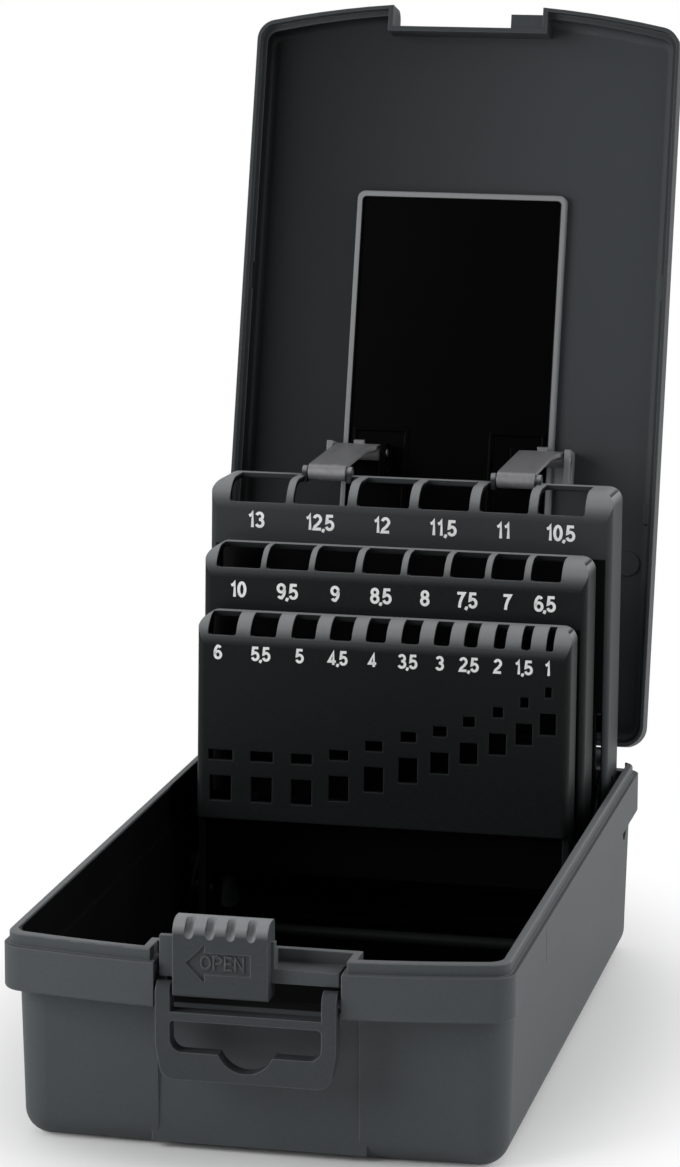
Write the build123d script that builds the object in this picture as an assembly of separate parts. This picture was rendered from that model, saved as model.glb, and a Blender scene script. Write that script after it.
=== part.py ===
from build123d import *
import math
import os

# Drill bit case, open: a moulded tray, a lid leaning back behind it, and three hinged racks that
# the lid lifts upright through two steel straps. Millimetres, +X to the right, +Y to the back,
# +Z up. The origin is the middle of the tray's flat underside.

# ---------------------------------------------------------------- case

case_width = 106.0  # across the tray's band and the lid
case_length = 175.0  # straight sides, from the front corners to the rear face
front_bow = 6.0  # how far the front edge bows out at its middle
band_corner = 5.0  # plan radius of the band's and lid's corners
mating_z = 42.5  # height where tray and lid meet
band_low = 33.0  # underside of the tray's band
band_round = 0.8
seam_gap = 0.1  # between the band and the shut lid's rim
tongue_rise = 2.5  # the tongue above the mating height, inside the lid's rebate
tongue_wall = 1.6
tongue_inset = 1.0  # the tongue's outer face inside the band's
tongue_round = 0.4
ledge_rise = 2.0  # the wide upper hollow begins this far above the band's underside
wall = 1.9  # moulded walls of the tray's body
floor_thick = 2.0
body_inset = 1.3  # the body's sides stand this far inside the band
body_front_inset = 3.9
body_rear_inset = 3.0
body_overlap = 1.0  # the body runs this far up inside the band
draft_deg = 1.6
body_corner = 6.0
bottom_round = 5.5
mark_radius = 2.5  # round mark outside each rear axle, below its axis
mark_drop = 3.2
mark_depth = 1.2
seam_line_back = 40.0  # moulding line down the right side, from the front corner
seam_line_width = 0.4
seam_line_depth = 0.25

# ---------------------------------------------------------------- lid

lid_height = 9.5
lid_wall = 2.0
lid_roof = 1.8
lid_round = 2.6
hollow_round = 1.8
lip_wall = 0.8  # the rim beside the rebate that takes the tongue
rebate_gap = 0.15
tab_from = 54.2  # small tab in the lid's side, from the rear edge along the lid
tab_to = 59.5
tab_thick = 1.2
finger_from = 108.8  # finger notches in the side lips
finger_to = 115.3
finger_rise = 1.2
ejector_x = 46.0
ejector_along = 44.7
ejector_radius = 3.0
ejector_rise = 0.45

# ---------------------------------------------------------------- hinge

hinge_back = 2.5  # hinge axis behind the rear face
hinge_up = 2.0  # hinge axis above the mating height
hinge_pin_radius = 1.0
pin_chamfer = 0.25
running_gap = 0.05  # radial clearance of a pin in a moving bore
knuckle_radius = 2.2
knuckle_gap = 0.3  # end gap between knuckles, and round them
hinge_middles = (-30.0, 30.0)
lid_knuckle = 12.0  # length of a lid knuckle
tray_knuckle = 7.0  # length of each tray knuckle beside it
web_drop = 4.5  # webs that carry the tray's knuckles, below the hinge axis
web_clear = 0.7  # the raised webs stand this far behind the rear face
web_top_drop = 0.6
lid_web_rise = 3.5
root = 0.5  # how far an added feature reaches into its wall
lid_swing_deg = 104.6  # from shut to the open stop

# ---------------------------------------------------------------- latch recess, rail and slider

recess_half = 19.3  # half the width of the latch recess in the band
jog_step = 1.0  # the tongue ends this far beside the recess
neck_back = 2.0  # straight wall behind the latch, behind the front corners
neck_low = 39.3  # underside of the latch rail
rail_half = 18.5
rail_ahead = 3.4  # the rail's flange ahead of the front corners
rail_flange = 1.6
rail_top = mating_z - 0.3
rail_lip = 1.3  # how far the flange hangs below its stem
block_left = -18.5  # fixed upper block that the slider runs on
block_right = 5.3
block_top = 47.7
block_lip = 1.5  # how far the upper flange stands above its stem
lid_clear = 0.3  # from the latch's fixed parts to the shut lid
panel_half = 21.0  # sunk field in the front, behind the handle
panel_depth = 1.0
panel_low = 3.0
panel_margin = 1.5
notch_half = 18.8  # notch in the lid's front edge
notch_wall = 1.2
keeper_left = 10.9
keeper_gap = 0.5
slide_gap = 0.25
slider_width = 19.6
slider_left = -15.0
slider_ahead = 6.5
slider_low = 36.1
slider_top = 52.0
slider_round = 3.2
slider_back_round = 1.2
slider_low_round = 0.8
flute_count = 4
flute_share = 0.6  # free width at the slider's ends, in flute pitches
flute_radius = 0.95
flute_slope_deg = 45
flute_length = 10.0
flute_back = 1.2
scallop_radius = 1.05
scallop_reach = 3.4
arrow_z = 43.3
arrow_shift = 2.2
arrow_tip = -9.3
arrow_neck = -5.4
arrow_tail = 4.0
arrow_head_half = 3.9
arrow_half = 2.2
arrow_depth = 0.5

# ---------------------------------------------------------------- hang handle

handle_thick = 3.5
handle_ahead = 6.6  # front face ahead of the front corners
trunnion_ahead = 3.8
trunnion_z = 36.0
trunnion_radius = 1.0
trunnion_reach = 20.8
trunnion_end_gap = 0.3
arm_outer = 18.6
arm_inner = 15.6
handle_top = 38.7
bar_top = 32.9
shoulder_z = 26.0  # the sides slope inwards below this height
handle_low = 18.8
handle_taper = 1.3
handle_corner = 3.0
slot_top = 31.1
lobe_low = 24.6
lobe_half = 5.6
hump_low = 20.9
slot_low_round = 2.6
slot_high_round = 0.9
arm_front_round = 2.4
arm_rear_round = 0.9

# ---------------------------------------------------------------- racks

lean_deg = 2.0  # the racks lean back this much when they stand up
rack_wall = 1.6
rack_roof = 1.2
crown = 6.8  # radius along a rack's front top edge
top_corner = 3.2  # radius of its top corners, seen from the front
edge_round = 1.6
socket_play = 0.7  # a socket is wider than its drill by this much
mouth_corner = 0.9
rear_bar = 2.6  # strip left behind the sockets
guide_bar_rise = 16.0  # bar across the open back, above the floor
guide_bar_height = 4.0
foot_bar_height = 3.0
arm_ahead = 4.6  # front edge of the front rack's long arms
# Half width, depth, pivot (y, z), face in front of the pivot, height of the top, floor above the
# pivot, radius of the boss round the axle, and drop of the sockets' front lips.
racks = {
    "front": dict(
        half=43.8, depth=9.3, pivot=(41.0, 10.5), ahead=7.5, top=86.0, floor=29.3, boss=2.7, lip=4.8,
    ),
    "middle": dict(
        half=45.4, depth=12.3, pivot=(53.5, 21.0), ahead=7.5, top=99.5, floor=3.0, boss=4.6, lip=4.8,
    ),
    "rear": dict(
        half=48.3, depth=15.5, pivot=(71.5, 34.5), ahead=8.0, top=112.6, floor=3.0, boss=4.6, lip=5.4,
    ),
}
# Socket middles, left to right, by drill size.
sockets = {
    "front": {
        6.0: -38.0, 5.5: -28.2, 5.0: -18.7, 4.5: -9.9, 4.0: -1.65, 3.5: 6.4,
        3.0: 13.75, 2.5: 20.5, 2.0: 27.2, 1.5: 33.3, 1.0: 38.8,
    },
    "middle": {
        10.0: -37.2, 9.5: -25.5, 9.0: -14.2, 8.5: -3.1, 8.0: 7.3, 7.5: 17.2, 7.0: 26.6, 6.5: 35.6,
    },
    "rear": {13.0: -36.8, 12.5: -21.6, 12.0: -6.5, 11.5: 8.1, 11.0: 22.5, 10.5: 36.1},
}
# The front rack's short drills stand on steps, and its face has two rows of windows.
step_rise = 5.2  # rise of a step per millimetre of drill size below the widest step
step_widest = 4.76
step_wall = 1.6
step_thick = 1.2
window_up = 2.7  # lower window above the step
window_tall = 5.9
window_short = 5.0
window_short_below = 3.2  # drills up to this size have the shorter window
window_width = 3.5
window_growth = 0.27
upper_gap = 3.7
upper_height = 2.4
upper_width = 0.7
upper_growth = 0.85

# ---------------------------------------------------------------- axles and link bars

axle_radius = 1.5
axle_end = 49.4
axle_chamfer = 0.3
boss_radius = 3.6  # bosses on the tray's walls
boss_inner = 46.8
rear_boss_gap = 0.2
boss_root = 1.6
link_gap = 0.3  # the link bars' side clearance
link_thick = 0.7
link_half_width = 2.5
link_height = 9.0  # link rivets above the rack pivots
link_sweep = 26.5  # height above the rear pivot that the link bars swing through
rivet_radius = 1.0
rivet_head = 1.8
head_thick = 0.25
tail_thick = 0.6
rear_rivet_sunk = 0.5

# ---------------------------------------------------------------- straps and their guides

strap_width = 9.1
strap_flare = 2.1  # the strap's rear end is wider by this much on its right side
flare_from = 21.0
flare_square = 1.5
strap_thick = 1.0
strap_pin_radius = 1.0
strap_lefts = (-27.3, 18.6)  # left edge of each strap
strap_rod = (79.6, 113.2)  # y and z of the rods that the straps hook on
strap_pin_along = 69.0  # strap pins from the rear edge, along the open lid
strap_depth = 2.5  # strap pins behind the rim plane
strap_fold_deg = 82.0  # a strap's swing on its rod while the lid shuts
hook_open = 0.4
prong_half_width = 1.3  # bent-up prong at the strap's rear end
prong_up = 0.7
prong_slit = 0.9
prong_from = 0.9
prong_to = 1.9
lug_thick = 1.2
lug_radius = 1.5
lug_side_gap = 0.3
hook_relief = 2.3
strap_relief = 7.5  # length of the relief in the rear bar
relief_depth = 5.0
pad_half = 26.4
pad_top = 134.6  # far edge, from the rear edge along the lid
pad_bottom = 46.0
pad_raise = 2.0
pad_rim = 1.5
pad_sink = 0.8  # glossy field below the rim
pad_corner = 2.0
pad_round = 0.6
field_corner = 0.9
guide_wall = 1.4
guide_gap = 0.4
guide_low = 62.3  # near and far ends of the guides, along the lid
guide_high = 71.3
guide_foot = 1.0  # the foot that carries a guide standing beside the pad
guide_cover = 1.2
slot_from = 63.5
slot_to = 70.1
slot_width = 3.2
outline_spans = ((-23.9, -10.2), (10.3, 24.2))
outline_from = 55.0
outline_to = 75.5
outline_wall = 0.8
outline_low = 0.3
outline_high = 1.0

# ---------------------------------------------------------------- worked-out places

half_width = case_width / 2
front_y = -case_length / 2
rear_y = case_length / 2
hinge_y = rear_y + hinge_back
hinge_z = mating_z + hinge_up
lid_top = mating_z + lid_height
lid_face = lid_top - lid_roof
tongue_top = mating_z + tongue_rise
tongue_half = half_width - tongue_inset
tongue_front = front_y + tongue_inset
cavity_half = tongue_half - tongue_wall
ledge_z = band_low + ledge_rise
body_half = half_width - body_inset  # at the band
body_front = front_y + body_front_inset
body_rear = rear_y - body_rear_inset
body_rise = band_low + body_overlap
draft = math.tan(math.radians(draft_deg))
jog_half = recess_half + jog_step
recess_inner = jog_half + tongue_wall
neck_front = front_y + neck_back
rail_front = front_y - rail_ahead
link_outer = racks["rear"]["half"] - rack_wall - link_gap
hinge_axis = Axis((0, hinge_y, hinge_z), (1, 0, 0))
far = 200.0  # beyond every face, for cuts that run out


def block(x0, x1, y0, y1, z0, z1):
    """A box between two corners."""
    middle = Pos((x0 + x1) / 2, (y0 + y1) / 2, (z0 + z1) / 2)
    return middle * Box(abs(x1 - x0), abs(y1 - y0), abs(z1 - z0))


def rod_x(radius, x0, x1, y, z):
    """A round bar along X."""
    return Pos((x0 + x1) / 2, y, z) * Rot(0, 90, 0) * Cylinder(radius, abs(x1 - x0))


def ring_x(inner, outer, x0, x1, y, z):
    """A tube along X."""
    return rod_x(outer, x0, x1, y, z) - rod_x(inner, x0 - 1, x1 + 1, y, z)


def round_edges(shape, axis, wanted, radius):
    """Round the edges along an axis whose middles pass a test."""
    edges = shape.edges().filter_by(axis).filter_by(lambda e: wanted(e.center()))
    return fillet(edges, radius)


def outline(*corners):
    """A flat face with straight sides."""
    sides = [Line(a, b) for a, b in zip(corners, corners[1:] + corners[:1])]
    return make_face(sides)


def bowed_slab(half, front, rear, z0, z1, corner):
    """The case's plan raised between two heights, its front edge bowed forward as an arc."""
    plan = make_face([
        Line((-half, front), (-half, rear)),
        Line((-half, rear), (half, rear)),
        Line((half, rear), (half, front)),
        ThreePointArc((half, front), (0, front - front_bow), (-half, front)),
    ])
    return Pos(0, 0, z0) * extrude(fillet(plan.vertices(), corner), z1 - z0)


def drafted_block(half, front, rear, z0, z1, corner):
    """A rounded block whose sides lean outwards as they rise."""
    plan = Pos(0, (front + rear) / 2) * RectangleRounded(2 * half, rear - front, corner)
    return Pos(0, 0, z0) * extrude(plan, z1 - z0, taper=-draft_deg)


def export(name, solids):
    """Write one named sub-part."""
    export_step(Compound(children=list(solids)), f"parts/{name}.step")


os.makedirs("parts", exist_ok=True)

# ---------------------------------------------------------------- tray


def make_tray_shell():
    half = body_half - body_rise * draft
    front = body_front + body_rise * draft
    rear = body_rear - body_rise * draft
    body = drafted_block(half, front, rear, 0, body_rise, body_corner)
    body = fillet(body.faces().sort_by(Axis.Z)[0].edges(), bottom_round)
    band = bowed_slab(half_width, front_y, rear_y, band_low, mating_z - seam_gap, band_corner)
    band = fillet(band.faces().sort_by(Axis.Z)[0].edges(), band_round)
    tongue = bowed_slab(
        tongue_half, tongue_front, body_rear - root, mating_z - 1, tongue_top, band_corner - tongue_inset,
    )
    tongue = fillet(tongue.faces().sort_by(Axis.Z)[-1].edges(), tongue_round)
    inner = drafted_block(
        half - wall, front + wall, rear - wall, floor_thick, ledge_z + root, body_corner - wall,
    )
    inner = fillet(inner.faces().sort_by(Axis.Z)[0].edges(), bottom_round - wall)
    upper = bowed_slab(
        cavity_half, tongue_front + tongue_wall, body_rear + 0.4, ledge_z, tongue_top + 1,
        band_corner - tongue_wall,
    )
    # Behind the latch the front wall is straight, so the hollow stops short of the bow there.
    upper -= block(-recess_inner, recess_inner, -far, neck_front + tongue_wall, ledge_z - 1, far)
    upper -= block(-recess_inner, recess_inner, -far, body_front + wall, ledge_z - 1, neck_low + tongue_wall)
    return body + band + tongue - inner - upper


def cut_latch_recess(tray):
    tray -= block(-recess_half, recess_half, -far, neck_front, band_low - 1, mating_z)
    tray -= block(-jog_half, jog_half, -far, neck_front, mating_z, far)
    tray -= block(-recess_half, recess_half, -far, body_front, band_low - 1, neck_low)
    # The middle of the front is sunk behind the handle.
    sunk = body_front + panel_depth
    tray -= block(-panel_half, panel_half, -far, sunk, panel_low, band_low)
    side = panel_half + panel_margin
    tray += block(-side, side, sunk, sunk + wall, floor_thick - root, band_low + 1)
    return tray


def t_profile(x0, x1, z_low, z_high, y_back, lower_lip, upper_lip):
    """A flange on a narrower stem, which the latch slider wraps."""
    flange = block(x0, x1, rail_front, rail_front + rail_flange, z_low, z_high)
    stem = block(x0, x1, rail_front + rail_flange / 2, y_back, z_low + lower_lip, z_high - upper_lip)
    return flange + stem


def make_latch_rail():
    rail = t_profile(-rail_half, rail_half, neck_low, rail_top, neck_front + root, rail_lip, 0)
    fixed = t_profile(block_left, block_right, neck_low, block_top, front_y - lid_clear, rail_lip, block_lip)
    return rail + fixed


def add_rack_bearings(tray):
    """Bosses on the side walls that hold the axles, and the round marks outside the rear ones."""
    for side in (-1, 1):
        for name, rack in racks.items():
            inner = rack["half"] + rear_boss_gap if name == "rear" else boss_inner
            tray += rod_x(boss_radius, side * inner, side * (body_half - boss_root), *rack["pivot"])
    for side in (-1, 1):
        for rack in racks.values():
            tray -= rod_x(axle_radius, side * (boss_inner - 1), side * axle_end, *rack["pivot"])
        y, z = racks["rear"]["pivot"]
        tray -= rod_x(mark_radius, side * (body_half - mark_depth), side * far, y, z - mark_drop)
    return tray


def add_tray_knuckles(tray):
    for middle in hinge_middles:
        for side in (-1, 1):
            x0 = middle + side * (lid_knuckle / 2 + knuckle_gap)
            x1 = x0 + side * tray_knuckle
            back = hinge_y + knuckle_radius
            tray += rod_x(knuckle_radius, x0, x1, hinge_y, hinge_z)
            tray += block(x0, x1, rear_y - root, back, hinge_z - web_drop, mating_z - seam_gap)
            tray += block(x0, x1, rear_y + web_clear, back, hinge_z - web_drop, hinge_z - web_top_drop)
            tray -= rod_x(hinge_pin_radius, x0, x1, hinge_y, hinge_z)
    return tray


def make_tray():
    tray = cut_latch_recess(make_tray_shell())
    tray += make_latch_rail()
    tray = add_tray_knuckles(add_rack_bearings(tray))
    reach = trunnion_reach + trunnion_end_gap
    tray -= rod_x(trunnion_radius + running_gap, -reach, reach, front_y - trunnion_ahead, trunnion_z)
    line = front_y + seam_line_back
    tray -= block(
        half_width - seam_line_depth, far, line, line + seam_line_width, band_low + 1, mating_z,
    )
    return tray


export("tray", make_tray().solids())

# ---------------------------------------------------------------- lid, drawn shut and then swung open


def lid_y(distance):
    """Shut place of a point this far from the rear edge, measured along the lid."""
    return rear_y - distance


def open_lid(shape):
    return shape.rotate(hinge_axis, -lid_swing_deg)


def make_lid_shell():
    lid = bowed_slab(half_width, front_y, rear_y, mating_z, lid_top, band_corner)
    lid = fillet(lid.faces().sort_by(Axis.Z)[-1].edges(), lid_round)
    hollow = bowed_slab(
        half_width - lid_wall, front_y + lid_wall, rear_y - lid_wall, mating_z - 1, lid_face,
        band_corner - lid_wall,
    )
    hollow = fillet(hollow.faces().sort_by(Axis.Z)[-1].edges(), hollow_round)
    rebate = bowed_slab(
        half_width - lip_wall, front_y + lip_wall, rear_y - lip_wall, mating_z - 1, tongue_top + rebate_gap,
        band_corner - lip_wall,
    )
    # The latch's notch keeps a wall round it.
    outer = notch_half + notch_wall
    keep = block(-outer, outer, -far, front_y + notch_wall, 0, far)
    lid = lid - (hollow - keep) - (rebate - keep)
    lid -= block(-notch_half, notch_half, -far, front_y, 0, far)
    keeper_low = rail_top + keeper_gap
    return lid + t_profile(keeper_left, notch_half, keeper_low, block_top, front_y + root, 0, block_lip)


def add_lid_knuckles(lid):
    for middle in hinge_middles:
        x0 = middle - lid_knuckle / 2
        x1 = middle + lid_knuckle / 2
        lid += rod_x(knuckle_radius, x0, x1, hinge_y, hinge_z)
        lid += block(x0, x1, rear_y - root, hinge_y, hinge_z, hinge_z + lid_web_rise)
        lid -= rod_x(hinge_pin_radius + running_gap, x0 - 1, x1 + 1, hinge_y, hinge_z)
        for side in (-1, 1):
            # The tray's knuckles turn in these gaps in the rear wall.
            a = middle + side * lid_knuckle / 2
            b = a + side * (tray_knuckle + 2 * knuckle_gap)
            lid -= rod_x(knuckle_radius + knuckle_gap, a, b, hinge_y, hinge_z)
    return lid


def make_lid():
    lid = add_lid_knuckles(make_lid_shell())
    inner = half_width - lid_wall
    for side in (-1, 1):
        lid -= block(
            side * (inner + lid_wall / 5), side * (inner - 1), lid_y(finger_to), lid_y(finger_from),
            tongue_top, tongue_top + finger_rise,
        )
    lid += block(
        inner - tab_thick, inner + root, lid_y(tab_to), lid_y(tab_from), tongue_top + root, lid_face,
    )
    lid += Pos(ejector_x, lid_y(ejector_along), lid_face) * Cylinder(ejector_radius, 2 * ejector_rise)
    return lid


export("lid", open_lid(make_lid()).solids())

# ---------------------------------------------------------------- lid pad with the strap guides


def strap_right(left):
    """Right edge of a strap's flared rear end."""
    return left + strap_width + strap_flare


def add_guides(pad, left):
    """Two cheeks beside a strap, with the slot that its pin slides in."""
    slot_middle = mating_z + strap_depth
    near = lid_y(guide_high)
    away = lid_y(guide_low)
    for x0 in (left - guide_gap - guide_wall, strap_right(left) + guide_gap):
        x1 = x0 + guide_wall
        pad += block(x0, x1, near, away, slot_middle - slot_width / 2 - guide_cover, lid_face)
        if x1 > pad_half:
            pad += block(pad_half - 1, x1, near, away, lid_face - guide_foot, lid_face)
        if x0 < -pad_half:
            pad += block(x0, 1 - pad_half, near, away, lid_face - guide_foot, lid_face)
    slot = block(
        left - 2 * guide_wall, strap_right(left) + 2 * guide_wall, lid_y(slot_to), lid_y(slot_from),
        slot_middle - slot_width / 2, slot_middle + slot_width / 2,
    )
    return pad - fillet(slot.edges().filter_by(Axis.X), slot_width / 2 - running_gap)


def make_lid_pad():
    raised = lid_face - pad_raise
    pad = block(-pad_half, pad_half, lid_y(pad_top), lid_y(pad_bottom), raised, lid_face)
    pad = fillet(pad.edges().filter_by(Axis.Z), pad_corner)
    pad = fillet(pad.faces().sort_by(Axis.Z)[0].edges(), pad_round)
    field = block(
        pad_rim - pad_half, pad_half - pad_rim, lid_y(pad_top - pad_rim), lid_y(pad_bottom + pad_rim),
        raised - 1, raised + pad_sink,
    )
    pad -= fillet(field.edges().filter_by(Axis.Z), field_corner)
    for left in strap_lefts:
        pad = add_guides(pad, left)
    # Outlined rectangles at the lower corners of the field.
    for x0, x1 in outline_spans:
        near = lid_y(outline_to)
        away = lid_y(outline_from)
        frame = block(x0, x1, near, away, raised + outline_low, raised + outline_high)
        frame -= block(
            x0 + outline_wall, x1 - outline_wall, near + outline_wall, away - outline_wall, 0, far,
        )
        pad += frame
    return pad


export("lid_pad", open_lid(make_lid_pad()).solids())

# ---------------------------------------------------------------- hinge pins

for name, middle in zip(("left", "right"), hinge_middles):
    reach = lid_knuckle / 2 + knuckle_gap + tray_knuckle
    pin = rod_x(hinge_pin_radius, middle - reach, middle + reach, hinge_y, hinge_z)
    export(f"hinge_pin_{name}", [chamfer(pin.edges(), pin_chamfer)])

# ---------------------------------------------------------------- racks, drawn upright about their pivots


def stand(rack, shape):
    """Lean a rack's shape back and set it on its pivot."""
    y, z = rack["pivot"]
    return Pos(0, y, z) * Rot(-lean_deg, 0, 0) * shape


def crowned_block(half, front, back, low, top, crown_radius, corner):
    """A block with a large radius along its front top edge and smaller ones at its top corners."""
    side_view = block(-half, half, front, back, low, top)
    front_view = block(-half, half, front, back, low, top)
    side_view = round_edges(
        side_view, Axis.X, lambda c: c.Z > top - 0.1 and c.Y < front + 0.1, crown_radius,
    )
    front_view = round_edges(front_view, Axis.Y, lambda c: c.Z > top - 0.1, corner)
    return side_view & front_view


def step_floor(size, floor):
    """Height of the front rack's floor under a drill: the short drills stand on steps."""
    return floor + step_rise * max(0.0, step_widest - size)


def add_front_steps(shell, face, back, floor):
    """Stepped drill floors and the two rows of windows in the front rack's face."""
    for size, middle in sockets["front"].items():
        through = face + rack_wall + 0.4
        base = step_floor(size, floor)
        if base > floor:
            half = size / 2 + step_wall
            shell += block(middle - half, middle + half, face + root, back, base - step_thick, base)
        low = base + window_up
        height = window_short if size < window_short_below else window_tall
        half = (window_width + window_growth * size) / 2
        shell -= block(middle - half, middle + half, face - 1, through, low, low + height)
        high = low + height + upper_gap
        half = (upper_width + upper_growth * size) / 2
        shell -= block(middle - half, middle + half, face - 1, through, high, high + upper_height)
    return shell


def add_arms(shell, rack, back):
    """Arms and bosses down at the pivot, on both sides."""
    half = rack["half"]
    boss = rack["boss"]
    floor = rack["floor"]
    for side in (-1, 1):
        a = side * half
        b = side * (half - rack_wall)
        if floor - rack_wall > boss:
            shell += block(a, b, -arm_ahead, back, 0, floor - rack_wall + root)
            shell += block(a, b, -arm_ahead, 0, -boss, 0)
        else:
            shell += block(a, b, -boss, boss, 0, floor)
        shell += rod_x(boss, a, b, 0, 0)
    return shell


def make_rack(name):
    rack = racks[name]
    half = rack["half"]
    face = -rack["ahead"]
    back = face + rack["depth"]
    top = (rack["top"] - rack["pivot"][1]) / math.cos(math.radians(lean_deg))
    floor = rack["floor"]
    shell = crowned_block(half, face, back, floor - rack_wall, top, crown, top_corner)
    sides = block(-half, half, face, back, floor - rack_wall, top)
    shell = shell & round_edges(sides, Axis.Z, lambda c: c.Y < face + 0.1, edge_round)
    shell -= crowned_block(
        half - rack_wall, face + rack_wall, back + 5, floor, top - rack_roof, crown - rack_wall,
        top_corner - rack_wall,
    )
    for size, middle in sockets[name].items():
        width = size + socket_play
        lip = top - rack["lip"]
        mouth = block(middle - width / 2, middle + width / 2, face - 1, back - rear_bar, lip, top + 1)
        corner = min(mouth_corner, width / 2 - 0.2)
        shell -= round_edges(mouth, Axis.Y, lambda c: c.Z < lip + 0.1, corner)
    # Bars across the open back keep the drills from tipping out.
    inner = half - rack_wall / 2
    guide = floor + guide_bar_rise
    for low, high in ((guide, guide + guide_bar_height), (floor - rack_wall, floor + foot_bar_height)):
        shell += block(-inner, inner, back - rack_wall, back, low, high)
    if name == "front":
        shell = add_front_steps(shell, face, back, floor)
    shell = add_arms(shell, rack, back)
    if name == "rear":
        # The link bars swing through these corners of the face and floor.
        for side in (-1, 1):
            shell -= block(
                side * (half - rack_wall), side * (link_outer - link_thick - link_gap), face - 1,
                link_half_width + link_gap, -10, link_sweep,
            )
        shell = add_lugs(shell, top, back)
    shell -= rod_x(axle_radius + running_gap, -half - 1, half + 1, 0, 0)
    return shell - rod_x(rivet_radius + running_gap, -half - 1, half + 1, 0, link_height)


def to_rear_rack(point):
    """A point in the rear rack's own upright frame."""
    dy = point[0] - racks["rear"]["pivot"][0]
    dz = point[1] - racks["rear"]["pivot"][1]
    a = math.radians(lean_deg)
    return (dy * math.cos(a) - dz * math.sin(a), dy * math.sin(a) + dz * math.cos(a))


def add_lugs(shell, top, back):
    """Lugs that hold the strap rods, with room for the hooks and the folded straps."""
    v, w = to_rear_rack(strap_rod)
    folded = strap_slope + lean_deg - strap_fold_deg
    for left in strap_lefts:
        x0 = left - lug_side_gap
        x1 = left + strap_width + lug_side_gap
        shell -= rod_x(hook_relief, x0, x1, v, w)
        relief = block(
            x0, x1, 0, strap_relief, strap_pin_radius - lug_side_gap, strap_pin_radius + relief_depth,
        )
        shell -= Pos(0, v, w) * Rot(folded, 0, 0) * relief
        for a, b in ((x0 - lug_thick, x0), (x1, x1 + lug_thick)):
            shell += block(a, b, v - lug_radius, min(v + lug_radius, back), top - rack_wall, w)
            shell += rod_x(lug_radius, a, b, v, w)
        shell -= rod_x(strap_pin_radius, x0 - lug_thick, x1 + lug_thick, v, w)
    return shell


def open_point(distance, depth):
    """Where a point of the lid stands with the lid open: y and z."""
    a = math.radians(lid_swing_deg)
    y = lid_y(distance) - hinge_y
    z = mating_z + depth - hinge_z
    return (hinge_y + y * math.cos(a) + z * math.sin(a), hinge_z - y * math.sin(a) + z * math.cos(a))


strap_pin = open_point(strap_pin_along, strap_depth)
strap_span = math.dist(strap_rod, strap_pin)
strap_slope = math.degrees(math.atan2(strap_pin[1] - strap_rod[1], strap_pin[0] - strap_rod[0]))

for name, rack in racks.items():
    export(f"{name}_rack", stand(rack, make_rack(name)).solids())
    axle = rod_x(axle_radius, -axle_end, axle_end, *rack["pivot"])
    export(f"{name}_axle", [chamfer(axle.edges(), axle_chamfer)])

for side, left in zip(("left", "right"), strap_lefts):
    reach = lug_side_gap + lug_thick
    rod = rod_x(strap_pin_radius, left - reach, left + strap_width + reach, *strap_rod)
    export(f"rack_rod_{side}", [rod])

# ---------------------------------------------------------------- link bars and their rivets


def link_point(name):
    """Where the link's rivet stands on a rack that stands up."""
    y, z = racks[name]["pivot"]
    a = math.radians(lean_deg)
    return (y + link_height * math.sin(a), z + link_height * math.cos(a))


def make_link(side):
    points = [link_point(name) for name in ("front", "middle", "rear")]
    x0 = side * (link_outer - link_thick)
    x1 = side * link_outer
    bar = rod_x(link_half_width, x0, x1, *points[0])
    for start, end in zip(points, points[1:]):
        slope = math.degrees(math.atan2(end[1] - start[1], end[0] - start[0]))
        run = block(x0, x1, 0, math.dist(start, end), -link_half_width, link_half_width)
        bar += Pos(0, *start) * Rot(slope, 0, 0) * run
        bar += rod_x(link_half_width, x0, x1, *end)
    for point in points:
        bar -= rod_x(rivet_radius, x0 - 1, x1 + 1, *point)
    return bar


def make_rivets(side):
    """One rivet through the link and each rack's side."""
    rivets = []
    inner = link_outer - link_thick
    for name in ("front", "middle"):
        place = link_point(name)
        half = racks[name]["half"]
        tail = half - rack_wall - tail_thick
        rivet = rod_x(rivet_radius, side * tail, side * (link_outer + head_thick), *place)
        rivet += rod_x(rivet_head, side * link_outer, side * (link_outer + head_thick), *place)
        rivet += rod_x(rivet_head, side * (half + 0.1), side * inner, *place)
        rivets.append(rivet)
    place = link_point("rear")
    head = inner - tail_thick
    rivet = rod_x(rivet_radius, side * head, side * (racks["rear"]["half"] - rear_rivet_sunk), *place)
    rivet += rod_x(rivet_head, side * head, side * inner, *place)
    rivets.append(rivet)
    return rivets


for side, name in ((-1, "left"), (1, "right")):
    export(f"link_bar_{name}", [make_link(side)])
    export(f"link_rivets_{name}", make_rivets(side))

# ---------------------------------------------------------------- straps


def make_strap(left):
    """A stamped strap hooked over the rack's rod at the front, with an eye at its rear."""
    inner = strap_pin_radius
    outer = inner + strap_thick
    right = left + strap_width
    wide = strap_right(left)
    plan = make_face([
        Line((left, 0), (right, 0)),
        Line((right, 0), (right, flare_from)),
        TangentArc((right, flare_from), (wide, strap_span - flare_square), tangent=(0, 1)),
        Line((wide, strap_span - flare_square), (wide, strap_span)),
        Line((wide, strap_span), (left, strap_span)),
        Line((left, strap_span), (left, 0)),
    ])
    strap = Pos(0, 0, inner) * extrude(plan, strap_thick)
    hook = ring_x(inner + running_gap, outer, left, right, 0, 0)
    strap += hook - block(left - 1, right + 1, hook_open, far, -far, inner)
    strap += ring_x(inner, outer, left, wide, strap_span, 0)
    # The bent-up prong stands between two slits in the eye.
    middle = (left + wide) / 2
    for side in (-1, 1):
        a = middle + side * prong_half_width
        b = a + side * prong_slit
        strap -= block(a, b, strap_span + prong_from, far, -far, far)
    a = middle - prong_half_width
    b = middle + prong_half_width
    strap += block(a, b, strap_span + prong_from, strap_span + prong_to, 0, outer + prong_up)
    strap -= rod_x(inner, left - 1, wide + 1, strap_span, 0)
    return Pos(0, *strap_rod) * Rot(strap_slope, 0, 0) * strap


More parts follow.
